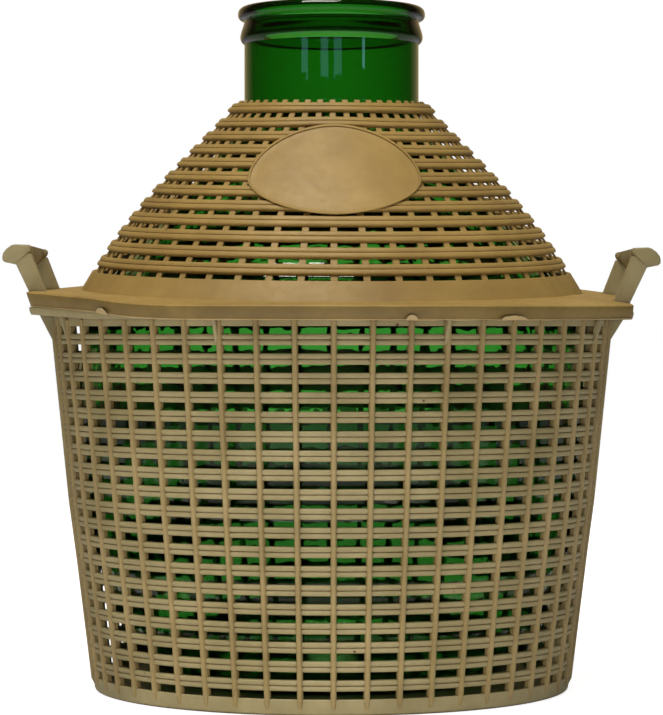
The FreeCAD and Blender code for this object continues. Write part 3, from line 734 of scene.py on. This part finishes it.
def flange_line(radius, reach, half_width, inset, z, arc_steps=40, lug_steps=8):
    """The outline of a flange as a ring of points: round, with a lug at each side."""
    r, end, half = radius - inset, reach - inset, half_width - inset
    corner = max(LUG_CORNER - inset, 0.5)
    turns = [LUG_SPREAD + (math.pi - 2 * LUG_SPREAD) * k / arc_steps for k in range(arc_steps + 1)]
    rear = [(r * math.cos(t), r * math.sin(t)) for t in turns]
    start = Vector(rear[0])
    tip = Vector((end, half))
    back = tip + (start - tip).normalized() * corner
    lug = []
    for k in range(lug_steps + 1):
        share = k / lug_steps
        lug.append((1 - share) ** 2 * Vector((end, half - corner))
                   + 2 * share * (1 - share) * tip + share ** 2 * back)
    quarter = [(p.x, p.y) for p in lug]
    right = [(x, -y) for x, y in reversed(quarter)] + quarter
    rear_half = right[len(quarter):] + rear + [(-x, y) for x, y in reversed(quarter)]
    front_half = [(-x, -y) for x, y in rear_half]
    return [(x, y, z) for x, y in rear_half + front_half]


def inner_ring(outline, radius, z):
    """A circle with a point for each point of an outline, on the same bearing."""
    bearings = [math.atan2(y, x) for x, y, unused in outline]
    return [(radius * math.cos(t), radius * math.sin(t), z) for t in bearings]


# Radius of the round, reach of a lug, half the width of a lug.
RIM_FLANGE = (216.0, 219.8, 80.0)
print("the outline has", len(flange_line(*RIM_FLANGE, 0.0, RIM_Z)), "points")

# %% Joining pieces


def join(name, pieces):
    """Several pieces as one, with the materials of the first."""
    shell = bmesh.new()
    for piece in pieces:
        shell.from_mesh(piece.data)
    mesh = bpy.data.meshes.new(name)
    shell.to_mesh(mesh)
    shell.free()
    for material in pieces[0].data.materials:
        mesh.materials.append(material)
    for piece in pieces:
        bpy.data.objects.remove(piece)
    return finished(name, mesh)


print(rim.name, "waits for its flange with", len(rim.data.polygons), "faces")

# %% Flange of the basket
LEFT_BEND = 3.6


def basket_flange():
    """A plate round the rim, its lower edge drawn in."""
    size = RIM_FLANGE
    low, top, edge = RIM_Z - 5.8, RIM_Z, 0.8
    line = flange_line(*size, 0.0, low)
    hole = wall_r(RIM_Z) - WALL_BACK
    return skin("basket_flange", [
        inner_ring(line, hole, low), flange_line(*size, 1.4, low),
        flange_line(*size, 0.2, low + 2.8), flange_line(*size, 0.0, top - edge),
        flange_line(*size, edge * 0.3, top - edge * 0.3), flange_line(*size, edge, top),
        inner_ring(line, hole, top)], basket_plastic, loop=True)


def bend_left(piece):
    """Bend the left side up a little, from under the flange upwards."""
    for vertex in piece.data.vertices:
        share = min(max((-vertex.co.x / MM - 160) / 50, 0), 1)
        rise = min(max((vertex.co.z / MM - 262) / 12, 0), 1)
        vertex.co.z += LEFT_BEND * MM * share * share * rise
    return piece


flange = bend_left(basket_flange())
rim_piece = join("basket_rim_and_flange", [rim, flange])
hand_in(rim_piece, "basket")

# %% Struts and fins
STRUT_HALF = 12.0
FIN_HALF = 1.3


def upright_plate(name, line, half, edge):
    """A plate that follows a line of (outer radius, inner radius, height), edges rounded."""
    sections = []
    for outer, inner, z in line:
        right = [(inner, half), (outer - edge, half), (outer - edge * 0.3, half - edge * 0.3),
                 (outer, half - edge)]
        sections.append([(r, y, z) for r, y in right] + [(r, -y, z) for r, y in reversed(right)])
    return bar(name, sections)


gusset_z = RIM_Z - 20.5
strut_line = [(wall_r(5) + 0.4, wall_r(5) - 2, 5.0)]
strut_line += [(wall_r(z) + proud, wall_r(z) - 2, z)
               for z, proud in ((7.5, 1.5), (65.0, 1.1), (KNEE_Z, 2.0), (gusset_z, 2.6))]
strut_line += [(219.0, wall_r(RIM_Z) - 2, RIM_Z - 4.6)]
strut = upright_plate("strut", strut_line, STRUT_HALF, 1.2)
struts = grown("basket_struts", strut, around_axis, count=2, first_turn=0.0,
               material=basket_plastic)
fin = upright_plate("fin", [
    (wall_r(258) + 0.6, wall_r(258) - 1, 258.0), (wall_r(263) + 2.0, wall_r(263) - 1, 263.0),
    (RIM_FLANGE[0] - 2.4, wall_r(RIM_Z) - 2, RIM_Z - 4.6)], FIN_HALF, 0.5)
fins = grown("basket_fins", fin, around_axis, count=8, first_turn=math.pi / 8,
             material=basket_plastic)
props = bend_left(join("basket_struts_and_fins", [struts, fins]))
hand_in(props, "basket")

# %% [markdown]
# ## The handles
# A handle is a hoop of two flat posts that lean out by 23 degrees and thicken upwards, with a
# thick grip across their tops. The grip is shaped like a hammer head: its outer side is round
# and hangs lower, its inner side is thin, and its front and rear ends are softened where
# fingers close on them. A box with a Bevel would round all its edges alike. So its section is
# drawn once and stepped from front to rear, drawn in where it ends. One handle is made, the
# second node tree sets its twin, and both are tipped by a millimetre, higher at the left.

# %% Sizes of a handle
POST_LEAN = math.radians(23.4)
POST_FOOT = 208.8
POST_THICK = 10.4
POST_GAIN = 0.085
POST_HALF = 5.0
POST_PLACE = 61.0
HANDLE_ROLL = 0.005
print("a post gains", round(POST_GAIN * (GRIP_TOP - RIM_Z), 1), "mm on its way up")

# %% Grip


def grip_outline(shrink, pull):
    """The section of a grip, (reach, height), drawn in all round, or on its inner side."""
    top, out = GRIP_TOP + 0.6, GRIP_REACH
    middle = Vector((out - 10.0, top - 6.0))
    line = [(out - 20.9, top - 3.2), (out - 20.6, top - 1.5), (out - 19.0, top - 0.4),
            (out - 8.6, top - 0.1), (out - 6.0, top - 0.9), (out - 2.4, top - 3.6),
            (out - 0.2, top - 6.6), (out + 0.4, top - 9.4), (out + 0.2, top - 11.8),
            (out - 1.4, top - 13.2), (out - 9.4, top - 14.2), (out - 12.6, top - 12.4),
            (out - 17.2, top - 7.8), (out - 20.2, top - 5.4)]
    drawn = [(Vector(p) - middle) * (1 - shrink / 8) + middle for p in line]
    return [(max(p.x, out - 20.9 + pull), p.y) for p in drawn]


def grip():
    """The grip from front to rear: a head on each post and a slimmer bar between them."""
    end = POST_PLACE + POST_HALF + 0.8
    heads = [(-end, 1.3, 0), (-end + 0.4, 0.6, 0), (-end + 1.2, 0.15, 0), (-end + 2.2, 0.0, 0),
             (-POST_PLACE + POST_HALF + 0.5, 0.0, 0), (-POST_PLACE + POST_HALF + 2.0, 0.0, 3.0)]
    stations = heads + [(-y, shrink, pull) for y, shrink, pull in reversed(heads)]
    return bar("grip", [[(x, y, z) for x, z in grip_outline(shrink, pull)]
                        for y, shrink, pull in stations])


print("the section of the grip has", len(grip_outline(0, 0)), "points")

# %% Posts and handles


def post(side):
    """One post, from inside the flange up into the grip, with softened edges."""
    low, high = RIM_Z - 2.0, GRIP_TOP - 6.0
    edge = 1.1
    sections = []
    for z in (low, high):
        reach = POST_FOOT + (z - RIM_Z) * math.tan(POST_LEAN)
        thick = POST_THICK / math.cos(POST_LEAN) + (z - RIM_Z) * POST_GAIN
        corners = []
        for out, along in ((1, 1), (-1, 1), (-1, -1), (1, -1)):
            a = (reach + out * thick / 2, side * POST_PLACE + along * POST_HALF)
            ends = [(a[0] - out * edge, a[1]), (a[0] - out * edge * 0.3, a[1] - along * edge * 0.3),
                    (a[0], a[1] - along * edge)]
            corners += ends if out * along < 0 else ends[::-1]
        sections.append([(x, y, z) for x, y in corners])
    return bar("post", sections)


handle = join("handle", [grip(), post(-1), post(1)])
handles = grown("basket_handles", handle, around_axis, count=2, first_turn=0.0,
                material=basket_plastic)
for vertex in handles.data.vertices:
    vertex.co.z -= HANDLE_ROLL * vertex.co.x
hand_in(handles, "basket")

# %% [markdown]
# ## The cover
# The cover is a cone whose slope is steepest at its foot and eases to 45 degrees. It is made
# upright, as the basket is, from a plain band, twelve twin-bead rings and 48 webs, by the
# same two node trees. Then it is leaned as the real one has been pulled. Turning the object
# would push its rings off the neck. So each point is lifted by its place instead, which keeps
# every ring centred. The flange lies down on the basket at the front and the front right, and
# is bent up at the left and the rear, so its edge has a height for each bearing, counted from
# the front through the left. Over the oval plate the rings part a little, and the same step
# does that.

# %% Bends of the cover
COVER_LEAN = math.tan(math.radians(3.3))
COVER_ROLL = math.tan(math.radians(0.3))
COVER_SEAT = RIM_Z + 14.3
PLATE_Z = 86.0
PLATE_UP = 40.5
# Between these two radii the lean of the cone gives way to the bend of the flange.
BEND_START = 189.0
BEND_END = 217.0
# Bearing in degrees, and height of the flange's top edge there.
FLANGE_BENDS = (
    (0, 285.2), (37, 285.8), (48, 289.9), (57, 293.6), (70, 296.0), (115, 300.4), (180, 303.6),
    (240, 299.1), (290, 286.0), (308, 285.5), (360, 285.2))


def bend_height(bearing):
    """Height of the flange's top edge at a bearing, rounded over some 16 degrees."""
    total = 0.0
    for shift in (-8, -4, 0, 4, 8):
        at = (bearing + shift) % 360
        for (low, z_low), (high, z_high) in zip(FLANGE_BENDS, FLANGE_BENDS[1:]):
            if low <= at <= high:
                total += z_low + (z_high - z_low) * (at - low) / (high - low)
                break
    return total / 5


print("flange at the front, left, rear and right",
      [round(bend_height(bearing), 1) for bearing in (0, 90, 180, 270)])

# %% Leaning a piece of the cover
RING_PARTING = 0.9


def lean_cover(piece, part_rings=True):
    """Move a piece of the cover from its own upright frame to its place."""
    plate_top = PLATE_Z + PLATE_UP
    for vertex in piece.data.vertices:
        x, y, z = (c / MM for c in vertex.co)
        if part_rings and y < 0:
            over_plate = math.exp(-((z - plate_top - 2) / 7) ** 2)
            z += RING_PARTING * math.exp(-(x / 30) ** 2) * over_plate
        leaning = COVER_SEAT + z + COVER_LEAN * y - COVER_ROLL * x
        share = min(max((math.hypot(x, y) - BEND_START) / (BEND_END - BEND_START), 0), 1)
        share = share * share * (3 - 2 * share)
        bearing = math.degrees(math.atan2(-x, -y)) % 360
        bent = z - FLANGE_TOP + bend_height(bearing) if share else 0.0
        vertex.co.z = ((1 - share) * leaning + share * bent) * MM
    return piece


print("the cone leans by", round(math.degrees(math.atan(COVER_LEAN)), 1), "degrees")

# %% Rings of the cover
COVER_WALL = 3.9
RING = COVER_PITCH - COVER_HOLE
TOP_RING_CLEAR = 1.6


def cone_guide(name, rows, start, pitch):
    """Ring places up the slope of the cover; the top one stands a little clear."""
    places = []
    for row in range(rows):
        radius, height, slope = cone_place(start + row * pitch)
        height += TOP_RING_CLEAR if row == rows - 1 else 0.0
        places.append((radius, height, slope - math.pi / 2))
    return guide_points(name, places)


ring_section = section_piece("ring_section", twin_bead(RING, 1.3, COVER_WALL))
ring_guide = cone_guide("ring_guide", COVER_ROWS, COVER_BAND + COVER_PITCH / 2, COVER_PITCH)
rings = grown("cover_rings", ring_guide, stacked_rings, section=ring_section,
              sides=RING_SIDES, material=cover_plastic, crease=50)
bpy.data.objects.remove(ring_section)
hand_in(lean_cover(rings), "cover")

# %% [markdown]
# ## Webs of the cover
# The webs stand behind the rings and hold them together. Each narrows a little on its way up
# and ends in a stub over the top ring, which flares outwards there. One web could be drawn
# flat and laid on the cone with a Curve modifier. It is a bar through sections instead, each
# set square to the slope where it stands, because that keeps its depth even.

# %% Webs of the cover
WEB_DEPTH = 2.3
WEB_START = 6.0
WEB_STEPS = 14
STUB_FLARE = 1.2
COVER_TOP = COVER_BAND + (COVER_ROWS - 0.5) * COVER_PITCH


def cover_web():
    """One web up the slope; it narrows a little and ends in a stub over the top ring."""
    sections = []
    steps = WEB_STEPS
    for k in range(steps + 1):
        along = WEB_START + (COVER_TOP + 9.0 - WEB_START) * k / steps
        half = 2.6 - 0.4 * k / steps
        face = WEB_DEPTH if k else COVER_WALL - 0.6
        ring = []
        for depth, side in ((COVER_WALL - 0.2, half), (face + 0.4, half), (face, half - 0.4),
                            (face, 0.4 - half), (face + 0.4, -half), (COVER_WALL - 0.2, -half)):
            radius, height, slope = cone_place(along, depth)
            rise = max(k / steps - 0.92, 0) / 0.08
            ring.append((radius + STUB_FLARE * rise, side, height + STUB_FLARE * rise))
        sections.append(ring)
    return bar("web", sections)


webs = grown("cover_webs", cover_web(), around_axis, count=RIBS, first_turn=math.radians(0.6),
             material=cover_plastic, crease=40)
hand_in(lean_cover(webs), "cover")

# %% Band of the cover
band_top = COVER_BAND - COVER_HOLE / 2
band_line = [cone_place(-4.0 + (band_top + 3.5) * k / 6)[:2] for k in range(7)]
band_line += [cone_place(band_top, 0.5)[:2], cone_place(band_top, COVER_WALL)[:2]]
band_line += [cone_place(-3.0, COVER_WALL)[:2]]
cover_band = turned("cover_band", band_line, cover_plastic)
print("the band ends under the first holes at", [round(c, 1) for c in band_line[6]])

# %% [markdown]
# ## Flange of the cover
# The flange is a plate with a turned-down skirt, open below. The skirt draws in towards its
# lower edge, but at the right lug it stands upright, and shade is painted on it all round.
# The flange is made as the one of the basket is, from its outline at each height. The
# four slots for the handle posts could be left out of that outline, but the posts stand in
# the basket and not in the cover, and they lean. So a Boolean cuts each with a box that leans
# as its post does, after the cover is in its place.

# %% Flange of the cover
# Radius of the round, reach of a lug, half the width of a lug.
COVER_FLANGE = (219.0, 221.5, 84.0)
SKIRT = 7.2
SKIRT_DRAFT = 3.0
SKIRT_WALL = 0.9
RIGHT_SHARE = 0.11


def shorten_right(piece):
    """Draw the right lug in a little at its top, so that its skirt stands upright."""
    for vertex in piece.data.vertices:
        share = (vertex.co.z / MM + SKIRT) / (SKIRT + FLANGE_TOP)
        vertex.co.x -= RIGHT_SHARE * share * max(vertex.co.x - 200 * MM, 0)
    return piece


def cover_flange():
    """A plate with a skirt that draws in towards its lower edge."""
    line = flange_line(*COVER_FLANGE, 0.0, 0.0)
    edge = 1.2
    outer = [(inset * edge, FLANGE_TOP - drop * edge)
             for inset, drop in ((1.0, 0.0), (0.55, 0.12), (0.2, 0.4), (0.05, 1.0))]
    piece = skin("cover_flange", [
        inner_ring(line, COVER_FOOT_R - 2, FLANGE_TOP),
        inner_ring(line, COVER_FOOT_R + 10, FLANGE_TOP),
        *[flange_line(*COVER_FLANGE, inset, z) for inset, z in outer],
        flange_line(*COVER_FLANGE, SKIRT_DRAFT, -SKIRT + 0.4),
        flange_line(*COVER_FLANGE, SKIRT_DRAFT + 0.4, -SKIRT),
        flange_line(*COVER_FLANGE, SKIRT_DRAFT + SKIRT_WALL, -SKIRT),
        flange_line(*COVER_FLANGE, 2.0, 0.0), inner_ring(line, COVER_FOOT_R - 4, 0.0),
        ], cover_plastic, loop=True, crease=40)
    # The upright faces of the skirt take the darker plastic, which is painted shade.
    piece.data.materials.append(skirt_plastic_painted_shade)
    for face in piece.data.polygons:
        low = min(piece.data.vertices[k].co.z for k in face.vertices)
        if low < (0.6 - SKIRT) * MM and abs(face.normal.z) < 0.7:
            face.material_index = 1
    return shorten_right(piece)


flange_and_band = join("cover_flange_and_band", [cover_flange(), cover_band])
lean_cover(flange_and_band, part_rings=False)
print(flange_and_band.name, "faces", len(flange_and_band.data.polygons))

# %% Slots for the posts
SLOT_PLAY = 1.35


def slot_cutter(side, end):
    """A box round one handle post, at the post's own lean and about as high as the plate."""
    bearing = math.degrees(math.atan2(-side * POST_FOOT, -end * POST_PLACE)) % 360
    middle = bend_height(bearing) - 1.5
    half = POST_THICK / math.cos(POST_LEAN) / 2 + SLOT_PLAY
    corners = []
    for a in (-1, 1):
        for b in (-1, 1):
            for z in (middle - 5, middle + 9):
                reach = POST_FOOT + (z - RIM_Z) * math.tan(POST_LEAN) + a * half
                corners.append((side * reach, end * POST_PLACE + b * (POST_HALF + 1.0), z))
    mesh = bpy.data.meshes.new("slot")
    mesh.from_pydata([Vector(p) * MM for p in corners], [], [
        (0, 1, 3, 2), (4, 6, 7, 5), (0, 4, 5, 1), (2, 3, 7, 6), (0, 2, 6, 4), (1, 5, 7, 3)])
    return finished("slot", mesh)


def cut_post_slots(piece):
    """Cut a slot in the flange round each handle post."""
    for side in (-1, 1):
        for end in (-1, 1):
            cutter = slot_cutter(side, end)
            modifier = piece.modifiers.new("slot", "BOOLEAN")
            modifier.object = cutter
            modifier.operation = "DIFFERENCE"
            ready = piece.evaluated_get(bpy.context.evaluated_depsgraph_get())
            mesh = bpy.data.meshes.new_from_object(ready)
            piece.modifiers.clear()
            piece.data = mesh
            bpy.data.objects.remove(cutter)
    piece.data.shade_smooth()
    piece.data.set_sharp_from_angle(angle=math.radians(40))
    return piece


hand_in(cut_post_slots(flange_and_band), "cover")

# %% [markdown]
# ## Flash on the skirt
# Where the two halves of the mould met, a thin lip of pale plastic was squeezed out along
# the lower edge of the skirt. It is wavy, little wider than a millimetre, and in three
# places it has torn and folded up into a small flap. A curve with a bevel could run along
# that edge. Four outlines of the flange, one inside another, make the same lip with the
# function that is at hand, and noise of a fixed pattern makes it wavy.

# %% Line of flash
FLASH_WAVE = 1.3
FLASH_LONG_WAVE_MM = 14
FLASH_SHORT_WAVE_MM = 5
# Draw, height and sway of each of the four outlines.
FLASH_RINGS = ((0.0, 0.5, 0.0), (-0.5, 0.0, 0.5), (0.4, -0.4, 0.5), (0.8, 0.3, 0.0))


def flash_line():
    """A thin wavy ribbon along the lower edge of the skirt."""
    rings = []
    for draw, height, sway in FLASH_RINGS:
        ring = []
        for x, y, z in flange_line(*COVER_FLANGE, SKIRT_DRAFT + draw, -SKIRT + height):
            wave = noise.noise(Vector((x, y, 0)) / FLASH_LONG_WAVE_MM)
            wave += 0.5 * noise.noise(Vector((x, y, 9)) / FLASH_SHORT_WAVE_MM)
            ring.append((x, y, z + sway * wave * FLASH_WAVE))
        rings.append(ring)
    return shorten_right(skin("flash_line", rings, flash_plastic, loop=True, crease=60))


flash_ribbon = flash_line()
print(flash_ribbon.name, "faces", len(flash_ribbon.data.polygons))

# %% Torn flaps
# Where each is across the front, its width and its height.
FLAPS = ((-162.0, 9.0, 4.4), (55.0, 8.0, 4.0), (127.0, 19.0, 3.6))


def flap(middle, width, height):
    """A torn scrap of flash, folded up against the skirt."""
    low, high = [], []
    for k in range(9):
        share = k / 8
        x = middle + (share - 0.5) * width
        y = -math.sqrt((COVER_FLANGE[0] - 0.3) ** 2 - x ** 2)
        rise = height * math.sin(math.pi * share) ** 0.6 * (0.8 + 0.4 * noise.noise((x, 3, 0)))
        low.append((x, y + 0.6, -SKIRT - 0.4))
        high.append((x, y - 0.6, -SKIRT + rise + 0.2))
    front = low + high[::-1]
    rear = [(x, y + 0.5, z) for x, y, z in front]
    return skin("flap", [front, rear], flash_plastic, crease=60)


flash = join("cover_flash", [flash_ribbon, *[flap(*size) for size in FLAPS]])
hand_in(lean_cover(flash, part_rings=False), "cover")

# %% [markdown]
# ## The oval plate
# On the front of the cover a smooth oval plate lies on the rings, with a raised border. It is
# widest below its middle. A Shrinkwrap modifier could lay a flat oval onto the cone, but it
# would dip between the rings. So each point is first placed on the oval as seen from the
# front, and then set on the cone by its height. The face of the plate is bare.

# %% A point on the cone


def on_cone(x, z, proud):
    """The point of the cone's front at a width and a height, a little proud of the rings."""
    above = bisect.bisect(slope_heights, z)
    share = (z - slope_heights[above - 1]) / (slope_heights[above] - slope_heights[above - 1])
    along = LINE_START + above - 1 + share
    radius, unused, slope = cone_place(along)
    radius += proud / math.sin(slope)
    return (x, -math.sqrt(max(radius ** 2 - x ** 2, 1.0)), z)


print("middle of the plate", [round(c, 1) for c in on_cone(0.0, PLATE_Z, 0.0)])

# %% Oval plate
PLATE_SIDES = 128
PLATE_X = 2.2
PLATE_HALF_W = 62.3
PLATE_DOWN = 24.0
# A power over 1 makes the oval a little more pointed than an ellipse.
PLATE_POWER = 1.1
PLATE_DEPTH = -3.4


def oval_ring(inset, proud, share=1.0):
    """A ring of the plate, drawn in by an inset or to a share of its size."""
    ring = []
    for k in range(PLATE_SIDES):
        turn = 2 * math.pi * k / PLATE_SIDES
        across, up = (math.copysign(abs(part) ** PLATE_POWER, part)
                      for part in (math.cos(turn), math.sin(turn)))
        x = PLATE_X + (PLATE_HALF_W - inset) * share * across
        z = PLATE_Z + ((PLATE_UP if up > 0 else PLATE_DOWN) - inset) * share * up
        ring.append(on_cone(x, z, proud))
    return ring


# The raised border, in from the edge and out from the rings.
border = [(0.0, PLATE_DEPTH), (0.0, 0.5), (0.2, 1.2), (0.8, 1.7), (1.4, 1.6), (1.8, 1.1),
          (2.0, 0.7)]
shares = [1 - 0.98 * (k / 12) for k in range(13)]
plate = skin("cover_plate", [oval_ring(2.0, PLATE_DEPTH, share) for share in reversed(shares)]
             + [oval_ring(inset, proud) for inset, proud in border]
             + [oval_ring(2.3, 0.6, share) for share in shares], cover_plastic)
hand_in(lean_cover(plate, part_rings=False), "cover")

# %% [markdown]
# ## Stage, lamps and camera
# The real one stands on white paper before a white wall. A bright white world would light it
# so, but it would also fill the glass with white mirrors. So the world is white only where
# the camera looks at it, through glass too. Where it lights the object it is dim, and where it
# is mirrored it is dark, but warm and brighter behind the vessel, which shows at the edges of
# the neck. The paper is lifted to white for the camera in the same way, and keeps its shadow.
# A large soft lamp hangs high above, a little to the front and the left. Weaker ones stand at
# the right and the rear, and a low one gives the light that the paper throws up at the front.
# Four cool panes stand for the windows that the neck mirrors. A long lens from about 2.3 m, a
# little below the rim of the basket, gives a flat perspective.

# %% Paper
# The paper lies a little under the foot, so that the two never share a plane.
PAPER_DROP = 0.0004
floor_mesh = bpy.data.meshes.new("floor")
floor_mesh.from_pydata([(-8, -8, 0), (8, -8, 0), (8, 8, 0), (-8, 8, 0)], [], [(0, 1, 2, 3)])
floor = bpy.data.objects.new("floor", floor_mesh)
bpy.context.collection.objects.link(floor)
floor.location.z = -PAPER_DROP


def white_floor():
    """Matt white paper; what the camera sees of it is lifted to white, and shadows stay."""
    material, tree, output = new_material("paper_white_matt")
    paper = add_node(tree, "ShaderNodeBsdfDiffuse", {"Color": linear("#CFCFCD")})
    glow = add_node(tree, "ShaderNodeEmission", {
        "Color": linear("#FFFFFF"), "Strength": 0.84})
    seen = add_node(tree, "ShaderNodeLightPath")
    lift = add_node(tree, "ShaderNodeMixShader", {
        0: seen.outputs["Is Camera Ray"], 2: glow.outputs[0]})
    both = add_node(tree, "ShaderNodeAddShader", {0: paper.outputs[0], 1: lift.outputs[0]})
    tree.links.new(both.outputs[0], output.inputs["Surface"])
    return material


floor_mesh.materials.append(white_floor())
print("the object stands on", floor_mesh.materials[0].name)

# %% World
# A number Mix node has its factor at input 0, its values at 2 and 3, its result at output 0.
ROOM_LIGHT = 0.25


def white_world():
    """White where it is seen, also through glass; a dim room where it lights or is mirrored."""
    world = bpy.data.worlds.new("white_room")
    bpy.context.scene.world = world
    world.use_nodes = True
    tree = world.node_tree
    tree.nodes.clear()
    seen = add_node(tree, "ShaderNodeLightPath").outputs
    bearing = add_node(tree, "ShaderNodeSeparateXYZ", {
        "Vector": add_node(tree, "ShaderNodeTexCoord").outputs["Generated"]})
    mirrored = add_node(tree, "ShaderNodeMapRange", {
        "Value": bearing.outputs["Y"], "From Min": 0.6, "From Max": 0.98,
        "To Min": 0.05, "To Max": 0.6}).outputs["Result"]
    room = add_node(tree, "ShaderNodeMix", {
        0: seen["Is Glossy Ray"], 2: ROOM_LIGHT, 3: mirrored}).outputs[0]
    direct = add_node(tree, "ShaderNodeMath", {
        0: seen["Is Camera Ray"], 1: seen["Is Transmission Ray"]}, operation="MAXIMUM")
    strength = add_node(tree, "ShaderNodeMix", {0: direct.outputs[0], 2: room, 3: 1.0})
    warm = add_node(tree, "ShaderNodeMath", {
        0: seen["Is Glossy Ray"], 1: direct.outputs[0]}, operation="SUBTRACT", use_clamp=True)
    tint = add_node(tree, "ShaderNodeMix", {
        FACTOR: warm.outputs[0], UNDER: linear("#FFFFFF"), OVER: linear("#F4D9A0")},
        data_type="RGBA")
    back = add_node(tree, "ShaderNodeBackground", {
        "Color": tint.outputs[MIXED], "Strength": strength.outputs[0]})
    add_node(tree, "ShaderNodeOutputWorld", {"Surface": back.outputs[0]})


white_world()
print(bpy.context.scene.world.name, "lights with", ROOM_LIGHT)

# %% Lamps


def lamp(name, place, size, watts, swatch, aim=(0, 0, 0.3), mirrored=True):
    """A lamp that the camera doesn't see; it may be kept out of mirrors and out of glass."""
    light = bpy.data.lights.new(name, "AREA")
    light.shape = "RECTANGLE"
    light.size, light.size_y = size
    light.energy = watts
    light.color = linear(swatch)[:3]
    holder = bpy.data.objects.new(name, light)
    holder.location = place
    way = Vector(aim) - Vector(place)
    holder.rotation_euler = way.to_track_quat("-Z", "Y").to_euler()
    holder.visible_camera = False
    holder.visible_glossy = mirrored
    holder.visible_transmission = mirrored
    bpy.context.collection.objects.link(holder)
    print(name, watts, "W")


lamp("soft_key", (-0.45, -1.0, 3.0), (1.5, 1.2), 66, "#FFF8EE")
lamp("soft_fill", (2.2, -1.6, 1.0), (1.4, 1.4), 6, "#F4F6FF", mirrored=False)
lamp("rear_fill", (0.4, 2.4, 1.3), (1.6, 1.2), 9, "#F6F6FF", mirrored=False)
lamp("paper_bounce", (-0.1, -0.50, 0.02), (1.1, 0.2), 2.3, "#FFF8EE", aim=(0, 0, 0.0),
     mirrored=False)

# %% Window panes
PANE_DISTANCE = 2.2
PANE_HEIGHT = 0.686
# Name, bearing in degrees from the front to the right, and width.
PANES = (("pane_left", -35, 0.34), ("pane_middle", -9, 0.38), ("pane_right", 8, 0.40),
         ("pane_far", 42, 0.14))
for name, bearing, width in PANES:
    turn = math.radians(bearing)
    lamp(name, (PANE_DISTANCE * math.sin(turn), -PANE_DISTANCE * math.cos(turn), PANE_HEIGHT),
         (width, 0.024), 0.045, "#8CD8E0", aim=(0, 0, 0.47))

# %% Camera
CAMERA_DISTANCE = 2.2556
CAMERA_HEIGHT = 0.26805
CAMERA_DIP = 0.525
SENSOR_MM = 36.0
# The focal length and the height of the picture, both in pixels.
FOCAL_PIXELS = 3000
PICTURE_PIXELS = 715
camera_data = bpy.data.cameras.new("camera")
camera_data.sensor_width = SENSOR_MM
camera_data.lens = FOCAL_PIXELS * SENSOR_MM / PICTURE_PIXELS
camera = bpy.data.objects.new("camera", camera_data)
camera.location = (0, -CAMERA_DISTANCE, CAMERA_HEIGHT)
camera.rotation_euler = (math.radians(90 - CAMERA_DIP), 0, 0)
bpy.context.collection.objects.link(camera)
bpy.context.scene.camera = camera
bpy.context.scene.view_settings.view_transform = "Standard"
print("lens", round(camera_data.lens, 1), "mm")
